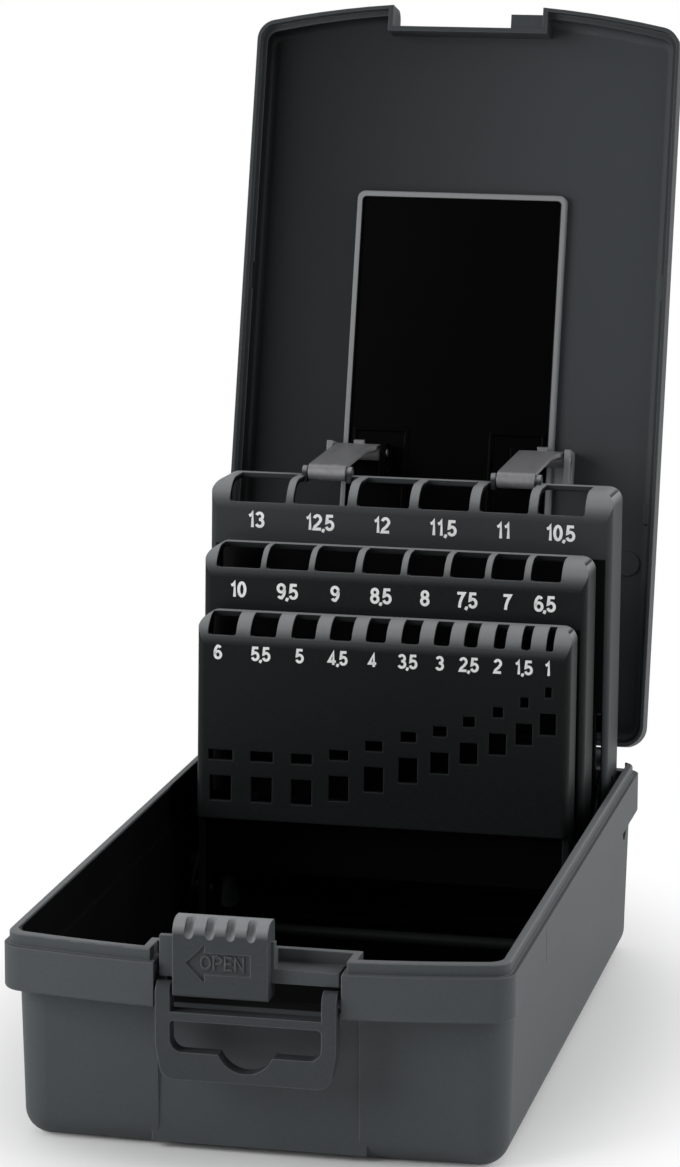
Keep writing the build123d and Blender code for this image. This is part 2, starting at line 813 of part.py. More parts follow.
for side, left in zip(("left", "right"), strap_lefts):
    export(f"strap_{side}", [make_strap(left)])
    reach = guide_gap + guide_wall
    pin = rod_x(strap_pin_radius, left - reach, strap_right(left) + reach, *strap_pin)
    export(f"strap_pin_{side}", [pin])

# ---------------------------------------------------------------- latch slider


def make_slider():
    x0 = slider_left
    x1 = slider_left + slider_width
    front = front_y - slider_ahead
    back = front_y - lid_clear
    slider = block(x0, x1, front, back, slider_low, slider_top)
    slider = round_edges(slider, Axis.X, lambda c: c.Y < front + 0.1 and c.Z > slider_top - 0.1, slider_round)
    low = slider_low + 0.1
    slider = round_edges(slider, Axis.X, lambda c: c.Y < front + 0.1 and c.Z < low, slider_low_round)
    high = slider_top - 0.1
    slider = round_edges(slider, Axis.X, lambda c: c.Y > back - 0.1 and c.Z > high, slider_back_round)
    channel = rail_front - slide_gap
    slider -= block(
        x0 - 1, x1 + 1, channel, rail_front + rail_flange + slide_gap, neck_low - slide_gap,
        block_top + slide_gap,
    )
    slider -= block(
        x0 - 1, x1 + 1, channel, far, neck_low + rail_lip - slide_gap, block_top - block_lip + slide_gap,
    )
    # Finger flutes over the top edge, and scallops in the bottom edge.
    pitch = slider_width / (flute_count + flute_share)
    for i in range(flute_count):
        x = (x0 + x1) / 2 + (i - (flute_count - 1) / 2) * pitch
        flute = Pos(x, front + flute_back, slider_top - flute_back) * Rot(-flute_slope_deg, 0, 0)
        slider -= flute * Cylinder(flute_radius, flute_length)
        slider -= Pos(x, front, slider_low) * Rot(90, 0, 0) * Cylinder(scallop_radius, scallop_reach)
    # Arrow recess that shows which way to push.
    arrow = outline(
        (arrow_tip, 0), (arrow_neck, arrow_head_half), (arrow_neck, arrow_half), (arrow_tail, arrow_half),
        (arrow_tail, -arrow_half), (arrow_neck, -arrow_half), (arrow_neck, -arrow_head_half),
    )
    place = Pos((x0 + x1) / 2 + arrow_shift, front + arrow_depth, arrow_z) * Rot(90, 0, 0)
    return slider - place * extrude(arrow, 2 * arrow_depth)


export("latch_slider", [make_slider()])

# ---------------------------------------------------------------- hang handle


def make_handle():
    low = arm_outer - handle_taper
    plate = outline(
        (-arm_outer, handle_top), (-arm_outer, shoulder_z), (-low, handle_low), (low, handle_low),
        (arm_outer, shoulder_z), (arm_outer, handle_top), (arm_inner, handle_top), (arm_inner, bar_top),
        (-arm_inner, bar_top), (-arm_inner, handle_top),
    )
    plate = fillet(plate.vertices().filter_by(lambda v: v.Y < handle_low + 0.1), handle_corner)
    window = make_face([
        Line((-arm_inner, slot_top), (arm_inner, slot_top)),
        Line((arm_inner, slot_top), (arm_inner, lobe_low)),
        Line((arm_inner, lobe_low), (lobe_half, lobe_low)),
        ThreePointArc((lobe_half, lobe_low), (0, hump_low), (-lobe_half, lobe_low)),
        Line((-lobe_half, lobe_low), (-arm_inner, lobe_low)),
        Line((-arm_inner, lobe_low), (-arm_inner, slot_top)),
    ])
    ends = window.vertices().filter_by(lambda v: abs(v.X) > arm_inner - 0.1)
    window = fillet(ends.filter_by(lambda v: v.Y < lobe_low + 0.1), slot_low_round)
    ends = window.vertices().filter_by(lambda v: v.Y > slot_top - 0.1)
    window = fillet(ends, slot_high_round)
    front = front_y - handle_ahead
    back = front + handle_thick
    handle = Pos(0, back, 0) * Rot(90, 0, 0) * extrude(plate - window, handle_thick)
    high = handle_top - 0.1
    handle = round_edges(handle, Axis.X, lambda c: c.Z > high and c.Y < front + 0.1, arm_front_round)
    handle = round_edges(handle, Axis.X, lambda c: c.Z > high and c.Y > back - 0.1, arm_rear_round)
    y = front_y - trunnion_ahead
    for side in (-1, 1):
        handle += rod_x(trunnion_radius, side * (arm_inner + root), side * trunnion_reach, y, trunnion_z)
    return handle


export("hang_handle", [make_handle()])
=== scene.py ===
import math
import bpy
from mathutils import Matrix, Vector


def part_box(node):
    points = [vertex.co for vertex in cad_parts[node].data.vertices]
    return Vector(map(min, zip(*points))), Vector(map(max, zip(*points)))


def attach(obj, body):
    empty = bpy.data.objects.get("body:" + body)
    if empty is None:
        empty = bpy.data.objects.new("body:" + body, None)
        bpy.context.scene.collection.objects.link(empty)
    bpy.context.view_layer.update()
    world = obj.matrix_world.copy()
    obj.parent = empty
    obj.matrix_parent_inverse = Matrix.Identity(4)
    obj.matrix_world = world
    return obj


bl_info = {
    "name": "Drill bit case",
    "version": (1, 0, 0),
    "blender": (4, 5, 0),
    "location": "View3D > Sidebar > Drill Case",
    "description": "Finishes, printed drill sizes and a plain studio for a hinged drill bit case",
    "category": "Object",
}

from collections import namedtuple

import bmesh
import bpy
from bpy.props import FloatProperty, FloatVectorProperty
from mathutils import Matrix, Vector

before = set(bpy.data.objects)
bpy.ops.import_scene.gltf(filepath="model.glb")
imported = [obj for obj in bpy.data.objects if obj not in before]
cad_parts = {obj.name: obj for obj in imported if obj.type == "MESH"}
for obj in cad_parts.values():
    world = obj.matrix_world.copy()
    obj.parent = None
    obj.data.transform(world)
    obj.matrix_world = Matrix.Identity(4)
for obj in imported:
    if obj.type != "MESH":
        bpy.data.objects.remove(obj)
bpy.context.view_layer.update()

MM = 0.001

# The lid is modelled open. Turned by its swing about its hinge it lies shut and square.
LID_HINGE = Vector((0, 90, 44.5)) * MM
LID_SWING = math.radians(104.6)

# The lid's front edge curves back from its middle by this times the square of X, in metres.
FRONT_BOW = 2.2
RACK_LEAN = math.radians(2.0)

# Each rack's half width, pivot place, reach ahead of the pivot, depth and top, and the height below
# which the rack in front hides its face and that face is painted in shade, in mm.
Rack = namedtuple("Rack", "half pivot_y pivot_z ahead depth top hidden")
RACKS = {
    "rear": Rack(48.3, 71.5, 34.5, 8.0, 15.5, 112.6, 97.3),
    "middle": Rack(45.4, 53.5, 21.0, 7.5, 12.3, 99.5, 84.0),
    "front": Rack(43.8, 41.0, 10.5, 7.5, 9.3, 86.0, 0.0),
}

# Heights above which faces that look up get a painted highlight. NO_TOPS is above every piece.
TRAY_TOPS = 41.5 * MM
LATCH_TOPS = 46.0 * MM
NO_TOPS = 10.0

# How far below a rack's top its faces with a painted highlight start, in mm.
RACK_TOPS_DEPTH = 8.0

# Where the latch's word stands: to the right of the slider's middle, and above the table, in mm.
WORD_SHIFT, WORD_HEIGHT = 0.5, 43.5
WORD_SQUEEZE = 1.25

# How far a letter's mesh reaches into the face that it stands on, and how much higher each stroke of
# a letter ends than the one before it, so that no two tops lie in one plane.
PRINT_ROOT, WORD_ROOT = -0.02 * MM, -0.3 * MM
STROKE_STEP = 0.004 * MM

# The gap between two glyphs against their height, the least cosine that sharpens a stroke's corner,
# and the length under which two points are one.
LETTER_GAP = 0.03
LEAST_MITRE = 0.45
SAME_PLACE = 1e-6

# The photograph's size, and its fitted focal length and principal point, in pixels.
PHOTO_WIDTH, PHOTO_HEIGHT = 680, 1167
PHOTO_FOCAL = 3952.8
PHOTO_MIDDLE = (425.1, 490.3)
SENSOR_HEIGHT = 24.0

# Each lamp's side length and place, and the point that both look at, in metres.
KEY_LAMP = (0.45, Vector((-0.50, -0.42, 0.32)))
SIDE_LAMP = (0.7, Vector((1.0, 0.1, 0.5)))
LIT_POINT = Vector((0, 0, 0.08))

# The floor turns to plain white between these distances from the middle, with X stretched, in metres.
FLOOR_FADE = (0.088, 0.17)
FLOOR_STRETCH = (1.6, 1.0, 1.0)

# The floor lies a hair under the case, so that their faces don't meet.
FLOOR_DROP = -0.05 * MM

SIDES = ("left", "right")

# Sockets of a Mix node, which has one of each name for every kind of data.
MIX_FACTOR = 0
FLOAT_A, FLOAT_B, FLOAT_OUT = 2, 3, 0
COLOUR_A, COLOUR_B, COLOUR_OUT = 6, 7, 2

# For each rack: how high its numbers stand above the table, how tall they are, and each drill size
# with the middle of its number, in mm.
PRINTED_SIZES = {
    "rear_rack": (
        103.5, 3.7,
        (("13", -37.1), ("12,5", -21.6), ("12", -6.6), ("11,5", 8.1), ("11", 22.6), ("10,5", 36.1)),
    ),
    "middle_rack": (
        90.1, 3.6,
        (("10", -37.1), ("9,5", -25.3), ("9", -13.9), ("8,5", -3.0), ("8", 7.4), ("7,5", 17.3),
         ("7", 26.7), ("6,5", 35.6)),
    ),
    "front_rack": (
        77.7, 3.25,
        (("6", -38.8), ("5,5", -28.6), ("5", -19.4), ("4,5", -10.4), ("4", -2.2), ("3,5", 6.0),
         ("3", 13.5), ("2,5", 20.3), ("2", 27.0), ("1,5", 33.0), ("1", 38.6)),
    ),
}


def arc(cx, cy, rx, ry, start, end, steps=10):
    """Points along part of an ellipse, angles in degrees."""
    points = []
    for i in range(steps + 1):
        a = math.radians(start + (end - start) * i / steps)
        points.append((cx + rx * math.cos(a), cy + ry * math.sin(a)))
    return points


# Centre lines of plain upright glyphs, each in a box of its own width and a height of 1.
GLYPHS = {
    "0": (0.50, [arc(0.25, 0.5, 0.185, 0.435, 90, 450, 24)]),
    "1": (0.40, [[(0.06, 0.735), (0.19, 0.80), (0.25, 0.93), (0.25, 0.0)]]),
    "2": (0.50, [arc(0.25, 0.70, 0.185, 0.235, 165, -20, 12)
                 + [(0.30, 0.42), (0.11, 0.22), (0.055, 0.065), (0.46, 0.065)]]),
    "3": (0.50, [arc(0.24, 0.725, 0.175, 0.21, 160, -90, 12) + [(0.20, 0.515)],
                 [(0.20, 0.515)] + arc(0.24, 0.29, 0.20, 0.225, 90, -160, 14)]),
    "4": (0.52, [[(0.49, 0.24), (0.05, 0.24), (0.335, 0.90), (0.335, 0.0)]]),
    "5": (0.50, [[(0.44, 0.93), (0.125, 0.93), (0.085, 0.50)]
                 + arc(0.245, 0.325, 0.195, 0.26, 135, -160, 14)]),
    "6": (0.50, [arc(0.255, 0.70, 0.18, 0.235, 30, 100, 5) + arc(0.27, 0.45, 0.205, 0.45, 115, 180, 6)
                 + arc(0.255, 0.31, 0.19, 0.245, 180, 540, 22)]),
    "7": (0.48, [[(0.04, 0.93), (0.435, 0.93), (0.29, 0.62), (0.20, 0.30), (0.17, 0.0)]]),
    "8": (0.50, [arc(0.25, 0.725, 0.165, 0.205, -90, 270, 20), arc(0.25, 0.29, 0.19, 0.225, 90, 450, 22)]),
    "9": (0.50, [arc(0.245, 0.69, 0.19, 0.245, 0, 360, 22) + arc(0.23, 0.55, 0.205, 0.45, 0, -65, 6)
                 + arc(0.245, 0.30, 0.18, 0.235, -80, -150, 5)]),
    ",": (0.15, [[(0.075, 0.09), (0.075, 0.0), (0.015, -0.13)]]),
    "O": (0.66, [arc(0.33, 0.5, 0.255, 0.43, 90, 450, 26)]),
    "P": (0.60, [[(0.09, 0.0), (0.09, 0.93), (0.32, 0.93)] + arc(0.32, 0.70, 0.20, 0.23, 90, -90, 12)
                 + [(0.09, 0.47)]]),
    "E": (0.54, [[(0.48, 0.93), (0.09, 0.93), (0.09, 0.07), (0.49, 0.07)], [(0.09, 0.51), (0.44, 0.51)]]),
    "N": (0.64, [[(0.09, 0.0), (0.09, 0.92), (0.53, 0.08), (0.53, 1.0)]]),
}


# ---------------------------------------------------------------- node helpers


def add_node(tree, kind, place, **settings):
    """Adds a shader node, sets its properties and unlinked sockets, and returns it."""
    made = tree.nodes.new(kind)
    made.location = place
    for name, value in settings.items():
        if name in made.inputs:
            made.inputs[name].default_value = value
        else:
            setattr(made, name, value)
    return made


def wire(tree, *wires):
    """Links sockets. Each wire is a node, its output, the next node and that node's input."""
    for source, out, target, into in wires:
        tree.links.new(source.outputs[out], target.inputs[into])


def new_group(name, inputs, outputs):
    """An empty shader node group with named float, colour or vector sockets."""
    tree = bpy.data.node_groups.new(name, "ShaderNodeTree")
    kinds = {"float": "NodeSocketFloat", "colour": "NodeSocketColor", "vector": "NodeSocketVector"}
    for label, kind, default in inputs:
        socket = tree.interface.new_socket(label, in_out="INPUT", socket_type=kinds[kind])
        socket.default_value = default
    for label, kind in outputs:
        tree.interface.new_socket(label, in_out="OUTPUT", socket_type=kinds[kind])
    start = tree.nodes.new("NodeGroupInput")
    start.location = (-900, 0)
    end = tree.nodes.new("NodeGroupOutput")
    end.location = (900, 0)
    return tree, start, end


def shared_group(name, build):
    """The named node group, built the first time it is asked for."""
    return bpy.data.node_groups.get(name) or build(name)


def place_group(tree, group, place, **values):
    """Puts a node group into a material and sets its inputs by name."""
    made = tree.nodes.new("ShaderNodeGroup")
    made.node_tree = group
    made.location = place
    for label, value in values.items():
        made.inputs[label.replace("_", " ")].default_value = value
    return made


def new_material(name):
    """A material with one Principled shader and nothing else in it."""
    material = bpy.data.materials.new(name)
    material.use_nodes = True
    tree = material.node_tree
    tree.nodes.clear()
    out = add_node(tree, "ShaderNodeOutputMaterial", (700, 0))
    shader = add_node(tree, "ShaderNodeBsdfPrincipled", (400, 0))
    wire(tree, (shader, "BSDF", out, "Surface"))
    return material, tree, shader


# ---------------------------------------------------------------- shared effects


def build_moulding_grain(name):
    """The fine spark-eroded texture of a moulding tool, as a height and a pale speckle."""
    tree, start, end = new_group(
        name,
        [("Grain Size", "float", 1600.0), ("Unevenness", "float", 0.5)],
        [("Height", "float"), ("Speckle", "float")],
    )
    spot = add_node(tree, "ShaderNodeTexCoord", (-900, -260))
    fine = add_node(tree, "ShaderNodeTexNoise", (-600, 120), Detail=3.0, Roughness=0.62)
    cells = add_node(tree, "ShaderNodeTexVoronoi", (-600, -180), feature="F1")
    broad = add_node(tree, "ShaderNodeMath", (-760, -60), operation="MULTIPLY")
    broad.inputs[1].default_value = 0.55
    mix = add_node(tree, "ShaderNodeMix", (-300, 0), data_type="FLOAT")
    wire(
        tree,
        (start, "Grain Size", fine, "Scale"),
        (start, "Grain Size", broad, 0),
        (broad, 0, cells, "Scale"),
        (spot, "Object", fine, "Vector"),
        (spot, "Object", cells, "Vector"),
        (start, "Unevenness", mix, MIX_FACTOR),
        (fine, "Fac", mix, FLOAT_A),
        (cells, "Distance", mix, FLOAT_B),
        (mix, FLOAT_OUT, end, "Height"),
    )
    speckle = add_node(tree, "ShaderNodeMapRange", (0, -200))
    speckle.inputs["From Min"].default_value = 0.42
    speckle.inputs["From Max"].default_value = 0.72
    wire(
        tree,
        (fine, "Fac", speckle, "Value"),
        (speckle, "Result", end, "Speckle"),
    )
    return tree


def build_edge_round_and_highlight(name):
    """Rounded edges: a softened normal and a mask that is 1 on an edge, for smoother edges and a painted
    highlight.
    """
    tree, start, end = new_group(
        name,
        [("Radius", "float", 0.0004), ("Sharpness", "float", 6.0)],
        [("Normal", "vector"), ("Edge", "float")],
    )
    round_off = add_node(tree, "ShaderNodeBevel", (-600, 100), samples=6)
    flat = add_node(tree, "ShaderNodeNewGeometry", (-600, -160))
    dot = add_node(tree, "ShaderNodeVectorMath", (-300, 0), operation="DOT_PRODUCT")
    turn = add_node(tree, "ShaderNodeMath", (-100, 0), operation="SUBTRACT")
    turn.inputs[0].default_value = 1.0
    gain = add_node(tree, "ShaderNodeMath", (100, 0), operation="MULTIPLY", use_clamp=True)
    wire(
        tree,
        (start, "Radius", round_off, "Radius"),
        (round_off, "Normal", dot, 0),
        (flat, "Normal", dot, 1),
        (dot, "Value", turn, 1),
        (turn, 0, gain, 0),
        (start, "Sharpness", gain, 1),
        (gain, 0, end, "Edge"),
        (round_off, "Normal", end, "Normal"),
    )
    return tree


def build_flow_clouds(name):
    """Broad clouding from the way the plastic flowed, as a mask."""
    tree, start, end = new_group(name, [("Cloud Size", "float", 18.0)], [("Clouds", "float")])
    spot = add_node(tree, "ShaderNodeTexCoord", (-900, -260))
    cloud = add_node(tree, "ShaderNodeTexNoise", (-500, 120), Detail=4.0, Roughness=0.55)
    wire(
        tree,
        (start, "Cloud Size", cloud, "Scale"),
        (spot, "Object", cloud, "Vector"),
        (cloud, "Fac", end, "Clouds"),
    )
    return tree


def build_shade_and_field_mask(name):
    """1 within a box with round corners in plan and 0 outside it.

    The box can widen upwards by Taper, be turned about an axis along X, and have a front that curves
    back from its middle by Bow times the square of X. With Sides Only at 1 it marks only the faces
    that look along X."""
    tree, start, end = new_group(
        name,
        [("Axis Place", "vector", (0, 0, 0)), ("Turn", "float", 0.0), ("Middle", "vector", (0, 0, 0)),
         ("Half Size", "vector", (1, 1, 1)), ("Taper", "float", 0.0), ("Corner", "float", 0.0),
         ("Bow", "float", 0.0), ("Sides Only", "float", 0.0), ("Softness", "float", 0.0002)],
        [("Inside", "float")],
    )
    spot = add_node(tree, "ShaderNodeTexCoord", (-1500, -260))
    turned = add_node(tree, "ShaderNodeVectorRotate", (-1300, 0), rotation_type="X_AXIS")
    apart = add_node(tree, "ShaderNodeVectorMath", (-1100, 0), operation="SUBTRACT")
    spread = add_node(tree, "ShaderNodeSeparateXYZ", (-1100, 300))
    squared = add_node(tree, "ShaderNodeMath", (-950, 400), operation="MULTIPLY")
    bowed = add_node(tree, "ShaderNodeMath", (-800, 400), operation="MULTIPLY")
    ahead = add_node(tree, "ShaderNodeMath", (-950, 250), operation="LESS_THAN")
    ahead.inputs[1].default_value = 0.0
    back = add_node(tree, "ShaderNodeMath", (-650, 400), operation="MULTIPLY")
    shift = add_node(tree, "ShaderNodeCombineXYZ", (-500, 400))
    unbowed = add_node(tree, "ShaderNodeVectorMath", (-1000, 60), operation="SUBTRACT")
    size = add_node(tree, "ShaderNodeVectorMath", (-900, 0), operation="ABSOLUTE")
    beyond = add_node(tree, "ShaderNodeVectorMath", (-700, 0), operation="SUBTRACT")
    high = add_node(tree, "ShaderNodeSeparateXYZ", (-900, -260))
    wider = add_node(tree, "ShaderNodeMath", (-700, -260), operation="MULTIPLY")
    inset = add_node(tree, "ShaderNodeMath", (-500, -260), operation="SUBTRACT")
    rim = add_node(tree, "ShaderNodeCombineXYZ", (-300, -260))
    parts = add_node(tree, "ShaderNodeSeparateXYZ", (-500, 200))
    shrunk = add_node(tree, "ShaderNodeVectorMath", (-300, 0), operation="SUBTRACT")
    outer = add_node(tree, "ShaderNodeVectorMath", (-100, 0), operation="MAXIMUM")
    flat = add_node(tree, "ShaderNodeVectorMath", (100, 0), operation="MULTIPLY")
    flat.inputs[1].default_value = (1, 1, 0)
    reach = add_node(tree, "ShaderNodeVectorMath", (300, 0), operation="LENGTH")
    plan = add_node(tree, "ShaderNodeMath", (450, 0), operation="SUBTRACT")
    worst = add_node(tree, "ShaderNodeMath", (600, 0), operation="MAXIMUM")
    fade = add_node(tree, "ShaderNodeMapRange", (750, 0))
    fade.inputs["To Min"].default_value = 1.0
    fade.inputs["To Max"].default_value = 0.0
    facing = add_node(tree, "ShaderNodeSeparateXYZ", (-300, -500))
    across = add_node(tree, "ShaderNodeMath", (-100, -500), operation="ABSOLUTE")
    side = add_node(tree, "ShaderNodeMapRange", (100, -500))
    side.inputs["From Min"].default_value = 0.5
    side.inputs["From Max"].default_value = 0.7
    chosen = add_node(tree, "ShaderNodeMix", (400, -500), data_type="FLOAT")
    chosen.inputs[FLOAT_A].default_value = 1.0
    marked = add_node(tree, "ShaderNodeMath", (900, 0), operation="MULTIPLY", use_clamp=True)
    wire(
        tree,
        (spot, "Object", turned, "Vector"),
        (start, "Axis Place", turned, "Center"),
        (start, "Turn", turned, "Angle"),
        (turned, "Vector", apart, 0),
        (start, "Middle", apart, 1),
        (apart, "Vector", spread, "Vector"),
        (spread, "X", squared, 0),
        (spread, "X", squared, 1),
        (squared, 0, bowed, 0),
        (start, "Bow", bowed, 1),
        (spread, "Y", ahead, 0),
        (bowed, 0, back, 0),
        (ahead, 0, back, 1),
        (back, 0, shift, "Y"),
        (apart, "Vector", unbowed, 0),
        (shift, "Vector", unbowed, 1),
        (unbowed, "Vector", size, 0),
        (size, "Vector", beyond, 0),
        (start, "Half Size", beyond, 1),
        (beyond, "Vector", parts, "Vector"),
        (apart, "Vector", high, "Vector"),
        (high, "Z", wider, 0),
        (start, "Taper", wider, 1),
        (wider, 0, inset, 0),
        (start, "Corner", inset, 1),
        (inset, 0, rim, "X"),
        (inset, 0, rim, "Y"),
        (beyond, "Vector", shrunk, 0),
        (rim, "Vector", shrunk, 1),
        (shrunk, "Vector", outer, 0),
        (outer, "Vector", flat, 0),
        (flat, "Vector", reach, 0),
        (reach, "Value", plan, 0),
        (start, "Corner", plan, 1),
        (plan, 0, worst, 0),
        (parts, "Z", worst, 1),
        (worst, 0, fade, "Value"),
        (start, "Softness", fade, "From Max"),
        (spot, "Normal", facing, "Vector"),
        (facing, "X", across, 0),
        (across, 0, side, "Value"),
        (start, "Sides Only", chosen, MIX_FACTOR),
        (side, "Result", chosen, FLOAT_B),
        (fade, "Result", marked, 0),
        (chosen, FLOAT_OUT, marked, 1),
        (marked, 0, end, "Inside"),
    )
    return tree


def build_painted_top_highlight(name):
    """Faces that look up above a height, painted pale as a highlight from the light above."""
    tree, start, end = new_group(
        name,
        [("Height", "float", 0.0), ("Band", "float", 0.003)],
        [("Top", "float")],
    )
    spot = add_node(tree, "ShaderNodeTexCoord", (-900, 0))
    facing = add_node(tree, "ShaderNodeSeparateXYZ", (-650, 150))
    place = add_node(tree, "ShaderNodeSeparateXYZ", (-650, -150))
    upward = add_node(tree, "ShaderNodeMapRange", (-400, 150))
    upward.inputs["From Min"].default_value = 0.05
    upward.inputs["From Max"].default_value = 0.6
    end_of_band = add_node(tree, "ShaderNodeMath", (-600, -320), operation="ADD")
    high = add_node(tree, "ShaderNodeMapRange", (-400, -150))
    both = add_node(tree, "ShaderNodeMath", (0, 0), operation="MULTIPLY", use_clamp=True)
    wire(
        tree,
        (spot, "Normal", facing, "Vector"),
        (spot, "Object", place, "Vector"),
        (facing, "Z", upward, "Value"),
        (place, "Z", high, "Value"),
        (start, "Height", end_of_band, 0),
        (start, "Band", end_of_band, 1),
        (start, "Height", high, "From Min"),
        (end_of_band, 0, high, "From Max"),
        (upward, "Result", both, 0),
        (high, "Result", both, 1),
        (both, 0, end, "Top"),
    )
    return tree


def moulded_plastic(name, look, tops_from=NO_TOPS, shade_and_field_boxes=()):
    """Through-coloured plastic with a fine grain, flow clouds, and edges that are smoother and carry a
    painted highlight.

    Faces that look up above tops_from get a painted highlight in the look's top colour. Each box is
    the inputs of a mask whose faces get a colour that runs along X from the look's left shade colour
    to its right one: painted shade, painted light on the lid's right, and the pad's own black field."""
    material, tree, shader = new_material(name)
    grain = place_group(
        tree, shared_group("moulding_grain", build_moulding_grain), (-900, 0),
        Grain_Size=look.grain_size, Unevenness=0.35,
    )
    edge = place_group(
        tree, shared_group("edge_round_and_highlight", build_edge_round_and_highlight), (-900, -260),
        Radius=look.edge_radius, Sharpness=look.edge_sharpness,
    )
    clouds = place_group(
        tree, shared_group("flow_clouds", build_flow_clouds), (-900, 260), Cloud_Size=look.cloud_size,
    )
    base = add_node(tree, "ShaderNodeMix", (-600, 260), data_type="RGBA")
    base.inputs[COLOUR_A].default_value = (*look.colour, 1)
    base.inputs[COLOUR_B].default_value = (*look.cloud_colour, 1)
    wire(tree, (clouds, "Clouds", base, MIX_FACTOR))
    # Painted highlight: edges turn toward the look's edge colour.
    edge_highlighted = add_node(tree, "ShaderNodeMix", (-360, 200), data_type="RGBA")
    edge_highlighted.inputs[COLOUR_B].default_value = (*look.edge_highlight_colour, 1)
    wire(
        tree,
        (edge, "Edge", edge_highlighted, MIX_FACTOR),
        (base, COLOUR_OUT, edge_highlighted, COLOUR_A),
    )
    # Painted highlight: faces that look up above tops_from turn toward the look's top colour.
    tops = place_group(
        tree, shared_group("painted_top_highlight", build_painted_top_highlight), (-900, 520),
        Height=tops_from, Band=look.top_band,
    )
    topped = add_node(tree, "ShaderNodeMix", (-240, 420), data_type="RGBA")
    topped.inputs[COLOUR_B].default_value = (*look.top_highlight_colour, 1)
    wire(
        tree,
        (tops, "Top", topped, MIX_FACTOR),
        (edge_highlighted, COLOUR_OUT, topped, COLOUR_A),
    )
    dusty = add_node(tree, "ShaderNodeMix", (-120, 200), data_type="RGBA", blend_type="ADD")
    dusty.inputs[COLOUR_B].default_value = (*look.speckle_colour, 1)
    wire(
        tree,
        (grain, "Speckle", dusty, MIX_FACTOR),
        (topped, COLOUR_OUT, dusty, COLOUR_A),
    )
    colour = dusty.outputs[COLOUR_OUT]
    # Painted shade: faces in each box take a colour running along X from the left shade colour to the
    # right one, which is painted light on the lid's right; on the pad the box is its own black field.
    if shade_and_field_boxes:
        place = add_node(tree, "ShaderNodeTexCoord", (-900, 1200))
        split = add_node(tree, "ShaderNodeSeparateXYZ", (-700, 1200))
        run = add_node(tree, "ShaderNodeMapRange", (-500, 1200))
        run.inputs["From Min"].default_value = -0.05
        run.inputs["From Max"].default_value = 0.05
        shade_and_field_tint = add_node(tree, "ShaderNodeMix", (-240, 1200), data_type="RGBA")
        shade_and_field_tint.inputs[COLOUR_A].default_value = (*look.shade_and_field_colour, 1)
        shade_and_field_tint.inputs[COLOUR_B].default_value = (*look.shade_and_field_right_colour, 1)
        wire(
            tree,
            (place, "Object", split, "Vector"),
            (split, "X", run, "Value"),
            (run, "Result", shade_and_field_tint, MIX_FACTOR),
        )
    for i, hollow in enumerate(shade_and_field_boxes):
        mask = place_group(
            tree, shared_group("shade_and_field_mask", build_shade_and_field_mask), (-900, 800 + 200 * i), **hollow,
        )
        kept = add_node(tree, "ShaderNodeMapRange", (-500, 900 + 200 * i))
        kept.inputs["To Min"].default_value = 1.0
        kept.inputs["To Max"].default_value = 1.0 - look.shade_and_field_clouding
        amount = add_node(tree, "ShaderNodeMath", (-300, 900 + 200 * i), operation="MULTIPLY")
        shade_and_field_mixed = add_node(tree, "ShaderNodeMix", (100 + 160 * i, 300), data_type="RGBA")
        wire(
            tree,
            (clouds, "Clouds", kept, "Value"),
            (kept, "Result", amount, 0),
            (mask, "Inside", amount, 1),
            (shade_and_field_tint, COLOUR_OUT, shade_and_field_mixed, COLOUR_B),
            (amount, 0, shade_and_field_mixed, MIX_FACTOR),
        )
        tree.links.new(colour, shade_and_field_mixed.inputs[COLOUR_A])
        colour = shade_and_field_mixed.outputs[COLOUR_OUT]
    tree.links.new(colour, shader.inputs["Base Color"])
    rough = add_node(tree, "ShaderNodeMapRange", (-360, -60))
    rough.inputs["To Min"].default_value = look.roughness - 0.05
    rough.inputs["To Max"].default_value = look.roughness + 0.05
    wire(tree, (clouds, "Clouds", rough, "Value"))
    smooth = add_node(tree, "ShaderNodeMix", (-120, -60), data_type="FLOAT")
    smooth.inputs[FLOAT_B].default_value = look.edge_roughness
    wire(
        tree,
        (edge, "Edge", smooth, MIX_FACTOR),
        (rough, "Result", smooth, FLOAT_A),
        (smooth, FLOAT_OUT, shader, "Roughness"),
    )
    bump = add_node(tree, "ShaderNodeBump", (120, -260), Strength=look.grain_depth, Distance=0.1 * MM)
    wire(
        tree,
        (grain, "Height", bump, "Height"),
        (edge, "Normal", bump, "Normal"),
        (bump, "Normal", shader, "Normal"),
    )
    shader.inputs["Specular IOR Level"].default_value = look.specular
    return material


def dress(names, material):
    """Gives CAD nodes a finish and leaves their meshes as packed."""
    for name in names:
        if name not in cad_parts:
            raise RuntimeError(f"the model has no piece named {name}")
        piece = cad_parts[name]
        if not piece.material_slots:
            piece.data.materials.append(material)
        for holder in piece.material_slots:
            holder.material = material


# ---------------------------------------------------------------- settings


def colour_setting(label, description, default):
    """A colour that the panel's properties can show."""
    return FloatVectorProperty(
        name=label, description=description, subtype="COLOR", size=3, min=0.0, max=1.0, default=default,
    )


